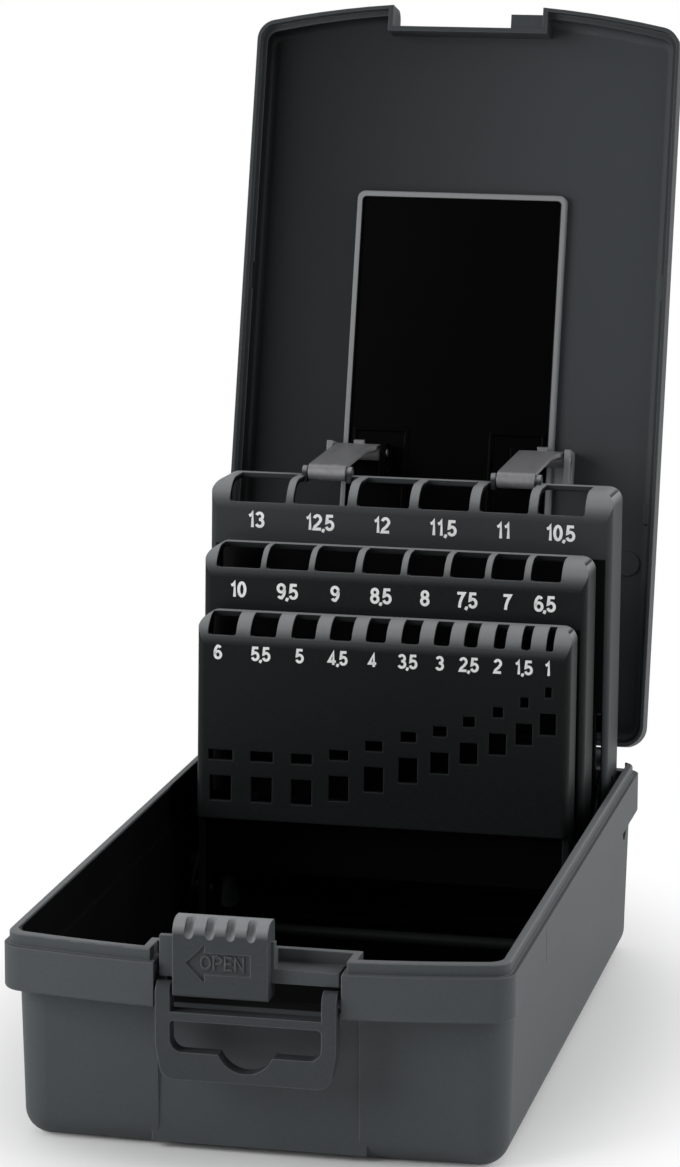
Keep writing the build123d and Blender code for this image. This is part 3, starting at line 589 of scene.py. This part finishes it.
class PlasticLook(bpy.types.PropertyGroup):
    """How one moulded plastic looks."""

    colour: colour_setting("Colour", "Colour of the plastic", (0.056, 0.062, 0.0655))
    cloud_colour: colour_setting(
        "Flow Colour", "Colour where the plastic flowed paler", (0.067, 0.074, 0.0775),
    )
    # Painted highlight on edges.
    edge_highlight_colour: colour_setting("Edge Highlight Colour", "Colour of the painted highlight on edges", (0.15, 0.157, 0.162))
    speckle_colour: colour_setting("Speckle Colour", "Light that the grain adds", (0.006, 0.006, 0.006))
    # Painted highlight on faces that look up, over a band of height.
    top_highlight_colour: colour_setting("Top Highlight Colour", "Colour of the painted highlight on faces that look up", (0.12, 0.125, 0.13))
    top_band: FloatProperty(
        name="Top Band", description="Height over which the painted highlight on faces grows paler", default=3.0 * MM,
        min=0.0, max=0.02, subtype="DISTANCE", unit="LENGTH", precision=4,
    )
    # Painted shade in boxes, painted light on the right of the lid's inside, and on the pad its own black
    # field.
    shade_and_field_colour: colour_setting(
        "Shade And Field Colour", "Colour of the hollow on the left", (0.001, 0.001, 0.001),
    )
    shade_and_field_right_colour: colour_setting(
        "Shade And Field Right Colour", "Colour of the hollow on the right", (0.001, 0.001, 0.001),
    )
    shade_and_field_clouding: FloatProperty(
        name="Shade And Field Clouding", description="How far the outer colour clouds the hollow", default=0.03,
        min=0.0, max=1.0,
    )
    roughness: FloatProperty(
        name="Roughness", description="Roughness of flat surfaces", default=0.46, min=0.1, max=0.95,
        subtype="FACTOR",
    )
    edge_roughness: FloatProperty(
        name="Edge Roughness", description="Roughness of edges", default=0.3, min=0.05, max=0.9,
        subtype="FACTOR",
    )
    edge_radius: FloatProperty(
        name="Edge Radius", description="Radius that edges are softened to", default=0.4 * MM, min=0.0,
        max=0.003, subtype="DISTANCE", unit="LENGTH", precision=5,
    )
    edge_sharpness: FloatProperty(
        name="Edge Strength", description="How quickly an edge turns pale", default=3.0, min=0.0, max=20.0,
    )
    grain_size: FloatProperty(
        name="Grain Count", description="Grains of texture in a metre", default=1600.0, min=100.0,
        max=6000.0,
    )
    grain_depth: FloatProperty(
        name="Grain Depth", description="Strength of the grain", default=0.25, min=0.0, max=1.0,
        subtype="FACTOR",
    )
    cloud_size: FloatProperty(
        name="Flow Scale", description="Flow clouds in a metre", default=16.0, min=1.0, max=200.0,
    )
    specular: FloatProperty(
        name="Specular Level", description="Strength of reflections", default=0.08, min=0.0, max=1.0,
        subtype="FACTOR",
    )


class PrintLook(bpy.types.PropertyGroup):
    """Sizes and colour of the printed drill sizes."""

    stroke: FloatProperty(
        name="Stroke", description="Width of a printed stroke against its height", default=0.188,
        min=0.02, max=0.3,
    )
    squeeze: FloatProperty(
        name="Squeeze", description="Width of the numbers against their drawn width", default=1.14,
        min=0.5, max=1.5,
    )
    thickness: FloatProperty(
        name="Ink Thickness", description="How far the print stands above the plastic", default=0.04 * MM,
        min=0.00001, max=0.0005, subtype="DISTANCE", unit="LENGTH", precision=6,
    )
    colour: colour_setting("Colour", "Colour of the print", (0.86, 0.87, 0.87))


class LegendLook(bpy.types.PropertyGroup):
    """Sizes of the raised word on the latch."""

    height: FloatProperty(
        name="Height", description="Height of the raised letters", default=3.0 * MM, min=0.001, max=0.01,
        subtype="DISTANCE", unit="LENGTH", precision=5,
    )
    stroke: FloatProperty(
        name="Stroke", description="Width of a raised stroke", default=0.45 * MM, min=0.0001, max=0.002,
        subtype="DISTANCE", unit="LENGTH", precision=5,
    )
    rise: FloatProperty(
        name="Rise", description="How far the letters stand up", default=0.25 * MM, min=0.00001, max=0.001,
        subtype="DISTANCE", unit="LENGTH", precision=5,
    )


class MetalLook(bpy.types.PropertyGroup):
    """How the bare steel looks."""

    strap_colour: colour_setting("Strap Colour", "Colour of the strap's steel", (0.26, 0.26, 0.27))
    strap_metal: FloatProperty(
        name="Strap Metal", description="How bare the strap's steel is under its dull plating",
        default=0.45, min=0.0, max=1.0,
    )
    pin_colour: colour_setting("Pin Colour", "Colour of pins and rivets", (0.45, 0.45, 0.46))
    roughness: FloatProperty(
        name="Roughness", description="Roughness of the steel", default=0.34, min=0.05, max=0.9,
        subtype="FACTOR",
    )


class StudioLook(bpy.types.PropertyGroup):
    """Camera and light."""

    camera_place: FloatVectorProperty(
        name="Camera Place", description="Where the camera stands", size=3,
        default=(0.1836, -0.8309, 0.2744), subtype="TRANSLATION", unit="LENGTH",
    )
    camera_turn: FloatProperty(
        name="Camera Turn", description="Turn of the camera to the left", default=math.radians(11.34),
        subtype="ANGLE", unit="ROTATION",
    )
    camera_tilt: FloatProperty(
        name="Camera Tilt", description="How far the camera looks down", default=math.radians(10.05),
        subtype="ANGLE", unit="ROTATION",
    )
    camera_roll: FloatProperty(
        name="Camera Roll", description="Roll of the camera", default=math.radians(0.45), subtype="ANGLE",
        unit="ROTATION",
    )
    fill: FloatProperty(
        name="Fill Light", description="Strength of the soft light from the front", default=0.16,
        min=0.0, max=4.0,
    )
    back_light: FloatProperty(
        name="Back Light", description="Strength of the soft light from behind", default=0.9,
        min=0.0, max=4.0,
    )
    key: FloatProperty(
        name="Key Light", description="Power of the lamp at the front left", default=3.5,
        min=0.0, max=200.0, unit="POWER",
    )
    bounce: FloatProperty(
        name="Side Light", description="Power of the lamp on the right", default=6.5,
        min=0.0, max=200.0, unit="POWER",
    )


# ---------------------------------------------------------------- pieces


def ribbon(shape, line, width, base, top):
    """Adds one raised stroke that follows a centre line, with square ends and mitred corners."""
    points = [Vector(p) for p in line]
    closed = (points[0] - points[-1]).length < SAME_PLACE
    if closed:
        points = points[:-1]
    count = len(points)
    left, right = [], []
    for i, point in enumerate(points):
        before = points[i - 1] if i or closed else None
        after = points[(i + 1) % count] if i < count - 1 or closed else None
        into = (point - before).normalized() if before is not None else (after - point).normalized()
        out = (after - point).normalized() if after is not None else into
        along = into + out
        along = along.normalized() if along.length > SAME_PLACE else out
        across = Vector((-along.y, along.x))
        square = Vector((-out.y, out.x))
        reach = min(width / 2 / max(LEAST_MITRE, across.dot(square)), width)
        left.append(point + across * reach)
        right.append(point - across * reach)
    rows = []
    for low, high in ((left, base), (left, top), (right, top), (right, base)):
        rows.append([shape.verts.new((p.x, p.y, high)) for p in low])
    steps = count if closed else count - 1
    for k in range(4):
        a, b = rows[k], rows[(k + 1) % 4]
        for i in range(steps):
            j = (i + 1) % count
            shape.faces.new((a[i], a[j], b[j], b[i]))
    if not closed:
        shape.faces.new([row[0] for row in rows])
        shape.faces.new([row[-1] for row in reversed(rows)])


def lettering(name, text, height, stroke, squeeze, base, top):
    """A piece made of glyphs in the XY plane, centred on the origin, with the baseline at minus half
    the height."""
    shape = bmesh.new()
    widths = [GLYPHS[c][0] * height * squeeze for c in text]
    gap = LETTER_GAP * height
    x = -(sum(widths) + gap * (len(text) - 1)) / 2
    for c, width in zip(text, widths):
        for k, line in enumerate(GLYPHS[c][1]):
            placed = [(x + px * height * squeeze, (py - 0.5) * height) for px, py in line]
            ribbon(shape, placed, stroke, base, top + k * STROKE_STEP)
        x += width + gap
    bmesh.ops.recalc_face_normals(shape, faces=shape.faces)
    mesh = bpy.data.meshes.new(name)
    shape.to_mesh(mesh)
    shape.free()
    piece = bpy.data.objects.new(name, mesh)
    bpy.context.scene.collection.objects.link(piece)
    return piece


def front_of(node, x, z):
    """The point and outward normal where a line from the front first meets a CAD piece, in metres."""
    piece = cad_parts[node]
    hit, point, normal, _ = piece.ray_cast(Vector((x, -1.0, z)), Vector((0, 1, 0)))
    if not hit:
        raise RuntimeError(f"nothing of {node} at x {x:.4f} z {z:.4f}")
    return point, normal


def stand_on(piece, point, normal):
    """Sets a flat piece on a surface, upright, facing along the surface's normal."""
    across = Vector((0, 0, 1)).cross(normal).normalized()
    upward = normal.cross(across).normalized()
    turn = Matrix((across, upward, normal)).transposed().to_4x4()
    turn.translation = point
    piece.data.transform(turn)


def box_inputs(middle, half_size, corner=0.0):
    """The inside mask's inputs for a box given in mm."""
    return {"Middle": Vector(middle) * MM, "Half_Size": Vector(half_size) * MM, "Corner": corner * MM}


def shut_lid_box(middle, half_size, corner):
    """The inside mask's inputs for a box given in mm where the lid lies when it is shut."""
    return {"Axis_Place": LID_HINGE, "Turn": LID_SWING, **box_inputs(middle, half_size, corner)}


class DRILLCASE_OT_case(bpy.types.Operator):
    """Give the tray and lid their grained plastic, with painted shade and light inside them, painted shade
    under the latch and a painted highlight on the tray's top
    """

    bl_idname = "drillcase.case"
    bl_label = "Case"

    def execute(self, context):
        scene = context.scene
        # Painted shade: the tray's inside and the gap under the latch are painted near black. The lid's
        # inside is painted dark on its left as painted shade and paler on its right as painted light.
        tray_inside_shade = {**box_inputs((0, 0.5, 23.0), (50.15, 82.4, 21.4), 6.0), "Taper": 0.055}
        under_latch_shade = box_inputs((0, -82.2, 36.1), (18.7, 2.6, 4.7))
        lid_inside_shade_and_light = {**shut_lid_box((0, -3.0, 48.3), (51.9, 89.4, 2.9), 3.0), "Bow": FRONT_BOW}
        shade_and_field_boxes = (tray_inside_shade, under_latch_shade)
        dress(("tray",), moulded_plastic("tray_plastic", scene.drillcase_case, TRAY_TOPS, shade_and_field_boxes))
        dress(("lid",), moulded_plastic("lid_plastic", scene.drillcase_lid, NO_TOPS, (lid_inside_shade_and_light,)))
        return {"FINISHED"}


class DRILLCASE_OT_latch(bpy.types.Operator):
    """Give the latch slider and the hang handle their plastic, with a painted highlight on their upper
    faces
    """

    bl_idname = "drillcase.latch"
    bl_label = "Latch and Handle"

    def execute(self, context):
        plastic = moulded_plastic("latch_plastic", context.scene.drillcase_latch, LATCH_TOPS)
        dress(("latch_slider", "hang_handle"), plastic)
        return {"FINISHED"}


def rack_shade_boxes(rack):
    """The boxes of painted shade on a rack: its partitions' sides, what lies behind its front wall, and
    its front below the height where the rack in front hides it."""
    front = rack.pivot_y - rack.ahead
    middle = front + rack.depth / 2
    turn = {"Axis_Place": Vector((0, rack.pivot_y, rack.pivot_z)) * MM, "Turn": RACK_LEAN}
    sides = box_inputs(
        (0, middle, rack.top / 2), (rack.half - 1.0, rack.depth / 2 - 0.6, rack.top / 2 - 0.4),
    )
    behind = box_inputs(
        (0, middle + 1.7, rack.top / 2), (rack.half - 1.0, rack.depth / 2 - 2.5, rack.top / 2 - 1.6),
    )
    hidden = box_inputs((0, front, rack.hidden / 2), (rack.half - 1.5, 1.5, rack.hidden / 2))
    return ({**turn, **sides, "Sides_Only": 1.0}, {**turn, **behind}, {**turn, **hidden})


class DRILLCASE_OT_racks(bpy.types.Operator):
    """Give the racks, their axles and their links the darker plastic, each rack lit and shaded by its
    colour, with painted shade inside and a painted highlight on top
    """

    bl_idname = "drillcase.racks"
    bl_label = "Racks"

    def execute(self, context):
        scene = context.scene
        looks = (scene.drillcase_rack_rear, scene.drillcase_rack_middle, scene.drillcase_rack_front)
        for (place, rack), look in zip(RACKS.items(), looks):
            tops = (rack.top - RACK_TOPS_DEPTH) * MM
            plastic = moulded_plastic(f"{place}_rack_plastic", look, tops, rack_shade_boxes(rack))
            dress((f"{place}_rack",), plastic)
        links = [f"{kind}_{side}" for kind in ("link_bar", "link_rivets") for side in SIDES]
        axles = [f"{place}_axle" for place in RACKS]
        dress(links + axles, moulded_plastic("link_plastic", scene.drillcase_rack_front))
        return {"FINISHED"}


class DRILLCASE_OT_pad(bpy.types.Operator):
    """Give the lid's pad its black field and a rim painted pale as a highlight"""

    bl_idname = "drillcase.pad"
    bl_label = "Lid Pad"

    def execute(self, context):
        field = shut_lid_box((0, -0.3, 46), (25.0, 45.3, 8), 1.0)
        plastic = moulded_plastic("pad_plastic", context.scene.drillcase_pad, NO_TOPS, (field,))
        dress(("lid_pad",), plastic)
        return {"FINISHED"}


def steel(name, colour, roughness, streaks, bareness):
    """Steel with fine streaks, which are longest along the axis where streaks is smallest."""
    material, tree, shader = new_material(name)
    spot = add_node(tree, "ShaderNodeTexCoord", (-1100, 0))
    stretch = add_node(tree, "ShaderNodeMapping", (-900, 0), Scale=streaks)
    noise = add_node(tree, "ShaderNodeTexNoise", (-700, 0), Scale=900.0, Detail=4.0, Roughness=0.6)
    edge = place_group(
        tree, shared_group("edge_round_and_highlight", build_edge_round_and_highlight), (-700, -280),
        Radius=0.3 * MM, Sharpness=3.0,
    )
    tint = add_node(tree, "ShaderNodeMix", (-300, 120), data_type="RGBA")
    tint.inputs[COLOUR_A].default_value = (*[c * 0.8 for c in colour], 1)
    tint.inputs[COLOUR_B].default_value = (*[min(1.0, c * 1.2) for c in colour], 1)
    rough = add_node(tree, "ShaderNodeMapRange", (-300, -60))
    rough.inputs["To Min"].default_value = roughness - 0.08
    rough.inputs["To Max"].default_value = roughness + 0.08
    bump = add_node(tree, "ShaderNodeBump", (-60, -260), Strength=0.12, Distance=0.05 * MM)
    wire(
        tree,
        (spot, "Object", stretch, "Vector"),
        (stretch, "Vector", noise, "Vector"),
        (noise, "Fac", tint, MIX_FACTOR),
        (noise, "Fac", rough, "Value"),
        (noise, "Fac", bump, "Height"),
        (edge, "Normal", bump, "Normal"),
        (tint, COLOUR_OUT, shader, "Base Color"),
        (rough, "Result", shader, "Roughness"),
        (bump, "Normal", shader, "Normal"),
    )
    shader.inputs["Metallic"].default_value = bareness
    return material


class DRILLCASE_OT_steel(bpy.types.Operator):
    """Give straps, rods and pins their steel"""

    bl_idname = "drillcase.steel"
    bl_label = "Straps and Pins"

    def execute(self, context):
        look = context.scene.drillcase_metal
        strap = steel(
            "strap_steel", look.strap_colour, look.roughness + 0.1, (1.0, 0.06, 1.0), look.strap_metal,
        )
        pin = steel("pin_steel", look.pin_colour, look.roughness, (0.1, 1.0, 1.0), 1.0)
        pins = [f"{kind}_{side}" for kind in ("rack_rod", "strap_pin", "hinge_pin") for side in SIDES]
        dress([f"strap_{side}" for side in SIDES], strap)
        dress(pins, pin)
        return {"FINISHED"}


class DRILLCASE_OT_sizes(bpy.types.Operator):
    """Print the drill sizes on the racks"""

    bl_idname = "drillcase.sizes"
    bl_label = "Printed Sizes"

    def execute(self, context):
        look = context.scene.drillcase_print
        ink, tree, shader = new_material("white_print")
        clouds = place_group(
            tree, shared_group("flow_clouds", build_flow_clouds), (-500, 0), Cloud_Size=400.0,
        )
        tint = add_node(tree, "ShaderNodeMix", (-200, 0), data_type="RGBA")
        tint.inputs[COLOUR_A].default_value = (*[c * 0.86 for c in look.colour], 1)
        tint.inputs[COLOUR_B].default_value = (*look.colour, 1)
        wire(
            tree,
            (clouds, "Clouds", tint, MIX_FACTOR),
            (tint, COLOUR_OUT, shader, "Base Color"),
        )
        shader.inputs["Roughness"].default_value = 0.5
        for node, (high, tall, numbers) in PRINTED_SIZES.items():
            for text, x in numbers:
                point, normal = front_of(node, x * MM, high * MM)
                name = f"size_{text.replace(',', '_')}"
                height = tall * MM
                piece = lettering(
                    name, text, height, look.stroke * height, look.squeeze, PRINT_ROOT, look.thickness,
                )
                stand_on(piece, point, normal)
                piece.data.materials.append(ink)
                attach(piece, node)
        return {"FINISHED"}


class DRILLCASE_OT_legend(bpy.types.Operator):
    """Set the raised word on the latch slider"""

    bl_idname = "drillcase.legend"
    bl_label = "Latch Word"

    def execute(self, context):
        look = context.scene.drillcase_legend
        low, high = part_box("latch_slider")
        middle = (low.x + high.x) / 2
        piece = lettering(
            "open_word", "OPEN", look.height, look.stroke, WORD_SQUEEZE, WORD_ROOT, look.rise,
        )
        point, normal = front_of("latch_slider", middle + WORD_SHIFT * MM, WORD_HEIGHT * MM)
        stand_on(piece, point, normal)
        piece.data.materials.append(bpy.data.materials["latch_plastic"])
        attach(piece, "slider")
        return {"FINISHED"}


class DRILLCASE_OT_studio(bpy.types.Operator):
    """Set the floor, the light and the camera"""

    bl_idname = "drillcase.studio"
    bl_label = "Studio"

    def execute(self, context):
        scene = context.scene
        look = scene.drillcase_studio
        add_floor(scene)
        add_world(scene, look.fill, look.back_light)
        add_lamp(scene, "key_lamp", look.key, *KEY_LAMP)
        add_lamp(scene, "side_lamp", look.bounce, *SIDE_LAMP)
        add_camera(scene, look)
        scene.view_settings.view_transform = "Standard"
        return {"FINISHED"}


def add_floor(scene):
    """A wide pale floor whose own colour is near white and which keeps the shadow."""
    shape = bmesh.new()
    bmesh.ops.create_grid(shape, x_segments=1, y_segments=1, size=6.0)
    mesh = bpy.data.meshes.new("floor")
    shape.to_mesh(mesh)
    shape.free()
    floor = bpy.data.objects.new("floor", mesh)
    floor.location.z = FLOOR_DROP
    scene.collection.objects.link(floor)
    material, tree, shader = new_material("floor_paper")
    noise = add_node(tree, "ShaderNodeTexNoise", (-500, 0), Scale=3.0, Detail=2.0)
    tint = add_node(tree, "ShaderNodeMix", (-200, 0), data_type="RGBA")
    tint.inputs[COLOUR_A].default_value = (0.90, 0.90, 0.90, 1)
    tint.inputs[COLOUR_B].default_value = (0.93, 0.93, 0.93, 1)
    wire(
        tree,
        (noise, "Fac", tint, MIX_FACTOR),
        (tint, COLOUR_OUT, shader, "Base Color"),
    )
    shader.inputs["Roughness"].default_value = 0.9
    shader.inputs["Specular IOR Level"].default_value = 0.0
    # Away from the case the camera sees the floor as plain white.
    path = add_node(tree, "ShaderNodeLightPath", (-200, -300))
    spot = add_node(tree, "ShaderNodeTexCoord", (-900, -500))
    evened = add_node(tree, "ShaderNodeVectorMath", (-800, -500), operation="MULTIPLY")
    evened.inputs[1].default_value = FLOOR_STRETCH
    reach = add_node(tree, "ShaderNodeVectorMath", (-650, -500), operation="LENGTH")
    fade = add_node(tree, "ShaderNodeMapRange", (-500, -500), interpolation_type="SMOOTHSTEP")
    fade.inputs["From Min"].default_value, fade.inputs["From Max"].default_value = FLOOR_FADE
    seen = add_node(tree, "ShaderNodeMath", (50, -400), operation="MULTIPLY")
    white = add_node(tree, "ShaderNodeEmission", (300, -250), Color=(1, 1, 1, 1), Strength=1.0)
    mix = add_node(tree, "ShaderNodeMixShader", (550, -100))
    out = next(n for n in tree.nodes if n.bl_idname == "ShaderNodeOutputMaterial")
    wire(
        tree,
        (spot, "Object", evened, 0),
        (evened, "Vector", reach, 0),
        (reach, "Value", fade, "Value"),
        (fade, "Result", seen, 0),
        (path, "Is Camera Ray", seen, 1),
        (seen, 0, mix, 0),
        (shader, "BSDF", mix, 1),
        (white, "Emission", mix, 2),
        (mix, 0, out, "Surface"),
    )
    mesh.materials.append(material)


def add_world(scene, fill, back_light):
    """Soft light, stronger from behind and above than from the front, seen as plain white."""
    world = bpy.data.worlds.new("studio")
    world.use_nodes = True
    tree = world.node_tree
    tree.nodes.clear()
    out = add_node(tree, "ShaderNodeOutputWorld", (600, 0))
    mix = add_node(tree, "ShaderNodeMixShader", (400, 0))
    light = add_node(tree, "ShaderNodeBackground", (100, 100), Color=(1, 1, 1, 1))
    seen = add_node(tree, "ShaderNodeBackground", (100, -100), Color=(1, 1, 1, 1), Strength=1.0)
    spot = add_node(tree, "ShaderNodeTexCoord", (-700, 100))
    facing = add_node(tree, "ShaderNodeVectorMath", (-500, 100), operation="DOT_PRODUCT")
    facing.inputs[1].default_value = (0.15, 0.85, 0.35)
    level = add_node(tree, "ShaderNodeMapRange", (-300, 100), interpolation_type="SMOOTHSTEP")
    level.inputs["From Min"].default_value = -0.5
    level.inputs["From Max"].default_value = 0.7
    level.inputs["To Min"].default_value = fill
    level.inputs["To Max"].default_value = back_light
    path = add_node(tree, "ShaderNodeLightPath", (-300, 400))
    clear = add_node(tree, "ShaderNodeMath", (100, 300), operation="MAXIMUM")
    wire(
        tree,
        (spot, "Generated", facing, 0),
        (facing, "Value", level, "Value"),
        (level, "Result", light, "Strength"),
        (path, "Is Camera Ray", clear, 0),
        (path, "Is Transmission Ray", clear, 1),
        (clear, 0, mix, 0),
        (light, 0, mix, 1),
        (seen, 0, mix, 2),
        (mix, 0, out, "Surface"),
    )
    scene.world = world


def add_lamp(scene, name, power, size, place):
    """A large square lamp that looks at the case."""
    lamp = bpy.data.lights.new(name, "AREA")
    lamp.energy = power
    lamp.size = size
    holder = bpy.data.objects.new(name, lamp)
    holder.location = place
    holder.rotation_euler = (LIT_POINT - place).to_track_quat("-Z", "Y").to_euler()
    scene.collection.objects.link(holder)


def add_camera(scene, look):
    """The camera at the photograph's place, with its frame set off as the picture is cropped."""
    turn, tilt, roll = look.camera_turn, look.camera_tilt, look.camera_roll
    ahead = Vector((-math.sin(turn) * math.cos(tilt), math.cos(turn) * math.cos(tilt), -math.sin(tilt)))
    level = Vector((math.cos(turn), math.sin(turn), 0))
    up = level.cross(ahead)
    right = math.cos(roll) * level + math.sin(roll) * up
    up = -math.sin(roll) * level + math.cos(roll) * up
    place = Matrix((right, up, -ahead)).transposed().to_4x4()
    place.translation = look.camera_place
    data = bpy.data.cameras.new("camera")
    data.sensor_fit = "VERTICAL"
    data.sensor_height = SENSOR_HEIGHT
    data.lens = SENSOR_HEIGHT * PHOTO_FOCAL / PHOTO_HEIGHT
    data.shift_x = (PHOTO_WIDTH / 2 - PHOTO_MIDDLE[0]) / PHOTO_HEIGHT
    data.shift_y = (PHOTO_MIDDLE[1] - PHOTO_HEIGHT / 2) / PHOTO_HEIGHT
    data.clip_start = 0.05
    data.clip_end = 50.0
    camera = bpy.data.objects.new("camera", data)
    camera.matrix_world = place
    scene.collection.objects.link(camera)
    scene.camera = camera


class DRILLCASE_PT_panel(bpy.types.Panel):
    """Lists the steps that finish the drill case."""

    bl_idname = "DRILLCASE_PT_panel"
    bl_label = "Drill Case"
    bl_space_type = "VIEW_3D"
    bl_region_type = "UI"
    bl_category = "Drill Case"

    def draw(self, context):
        column = self.layout.column(align=True)
        for step in STEPS:
            column.operator(step.bl_idname)


STEPS = (
    DRILLCASE_OT_studio,
    DRILLCASE_OT_case,
    DRILLCASE_OT_latch,
    DRILLCASE_OT_racks,
    DRILLCASE_OT_pad,
    DRILLCASE_OT_steel,
    DRILLCASE_OT_sizes,
    DRILLCASE_OT_legend,
)
LOOKS = {
    "drillcase_case": PlasticLook,
    "drillcase_lid": PlasticLook,
    "drillcase_latch": PlasticLook,
    "drillcase_rack_rear": PlasticLook,
    "drillcase_rack_middle": PlasticLook,
    "drillcase_rack_front": PlasticLook,
    "drillcase_pad": PlasticLook,
    "drillcase_print": PrintLook,
    "drillcase_legend": LegendLook,
    "drillcase_metal": MetalLook,
    "drillcase_studio": StudioLook,
}


CLASSES = (PlasticLook, PrintLook, LegendLook, MetalLook, StudioLook, *STEPS, DRILLCASE_PT_panel)


def register():
    for kind in CLASSES:
        bpy.utils.register_class(kind)
    for name, look in LOOKS.items():
        setattr(bpy.types.Scene, name, bpy.props.PointerProperty(type=look))


def unregister():
    for name in LOOKS:
        delattr(bpy.types.Scene, name)
    for kind in reversed(CLASSES):
        bpy.utils.unregister_class(kind)


def set_looks(scene):
    """Gives each piece's look its own values where they differ from the case's."""
    lid = scene.drillcase_lid
    # The lid is the case's plastic painted darker as painted shade, with a dimmer painted highlight on its
    # edges. Its inside is painted dark on the left as painted shade and paler on the right as painted
    # light.
    lid.colour = (0.042, 0.0465, 0.049)
    lid.cloud_colour = (0.050, 0.0555, 0.058)
    lid.edge_highlight_colour = (0.10, 0.105, 0.11)
    lid.shade_and_field_colour = (0.0065, 0.0073, 0.0078)
    lid.shade_and_field_right_colour = (0.060, 0.066, 0.070)
    lid.shade_and_field_clouding = 0.16
    # All racks are one plastic: each rack's colour is painted lighter at the rear and darker in front as
    # painted light and shade. Their tops carry a bright painted highlight, their edges a faint one.
    shades = (
        (scene.drillcase_rack_rear, 0.032),
        (scene.drillcase_rack_middle, 0.0095),
        (scene.drillcase_rack_front, 0.0085),
    )
    for rack, shade in shades:
        rack.colour = (shade * 0.92, shade * 1.02, shade * 1.08)
        rack.cloud_colour = (shade * 1.15, shade * 1.28, shade * 1.35)
        rack.edge_highlight_colour = (0.03, 0.032, 0.034)
        rack.top_highlight_colour = (0.25, 0.257, 0.265)
        rack.top_band = 8.5 * MM
        rack.speckle_colour = (0.003, 0.003, 0.003)
        rack.edge_radius = 0.6 * MM
    latch = scene.drillcase_latch
    latch.colour = (0.038, 0.0425, 0.045)
    latch.cloud_colour = (0.045, 0.050, 0.053)
    # The slider's top colour is a painted highlight.
    latch.top_highlight_colour = (0.21, 0.217, 0.225)
    pad = scene.drillcase_pad
    # The pad's colour is its rim painted pale as a highlight, with a brighter painted highlight on its
    # edges; its field is its own black.
    pad.colour = (0.20, 0.206, 0.210)
    pad.cloud_colour = (0.26, 0.266, 0.271)
    pad.edge_highlight_colour = (0.42, 0.425, 0.43)
    pad.shade_and_field_colour = (0.0003, 0.0003, 0.0004)
    pad.shade_and_field_right_colour = (0.0003, 0.0003, 0.0004)
    pad.shade_and_field_clouding = 0.004
    pad.speckle_colour = (0.0, 0.0, 0.0)
    pad.edge_roughness = 0.3
    pad.roughness = 0.3
    pad.grain_depth = 0.0
    pad.specular = 0.04


def main():
    """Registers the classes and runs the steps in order."""
    register()
    scene = bpy.context.scene
    set_looks(scene)
    for step in STEPS:
        group, name = step.bl_idname.split(".")
        getattr(getattr(bpy.ops, group), name)()
    bpy.context.view_layer.update()


if __name__ == "__main__":
    main()
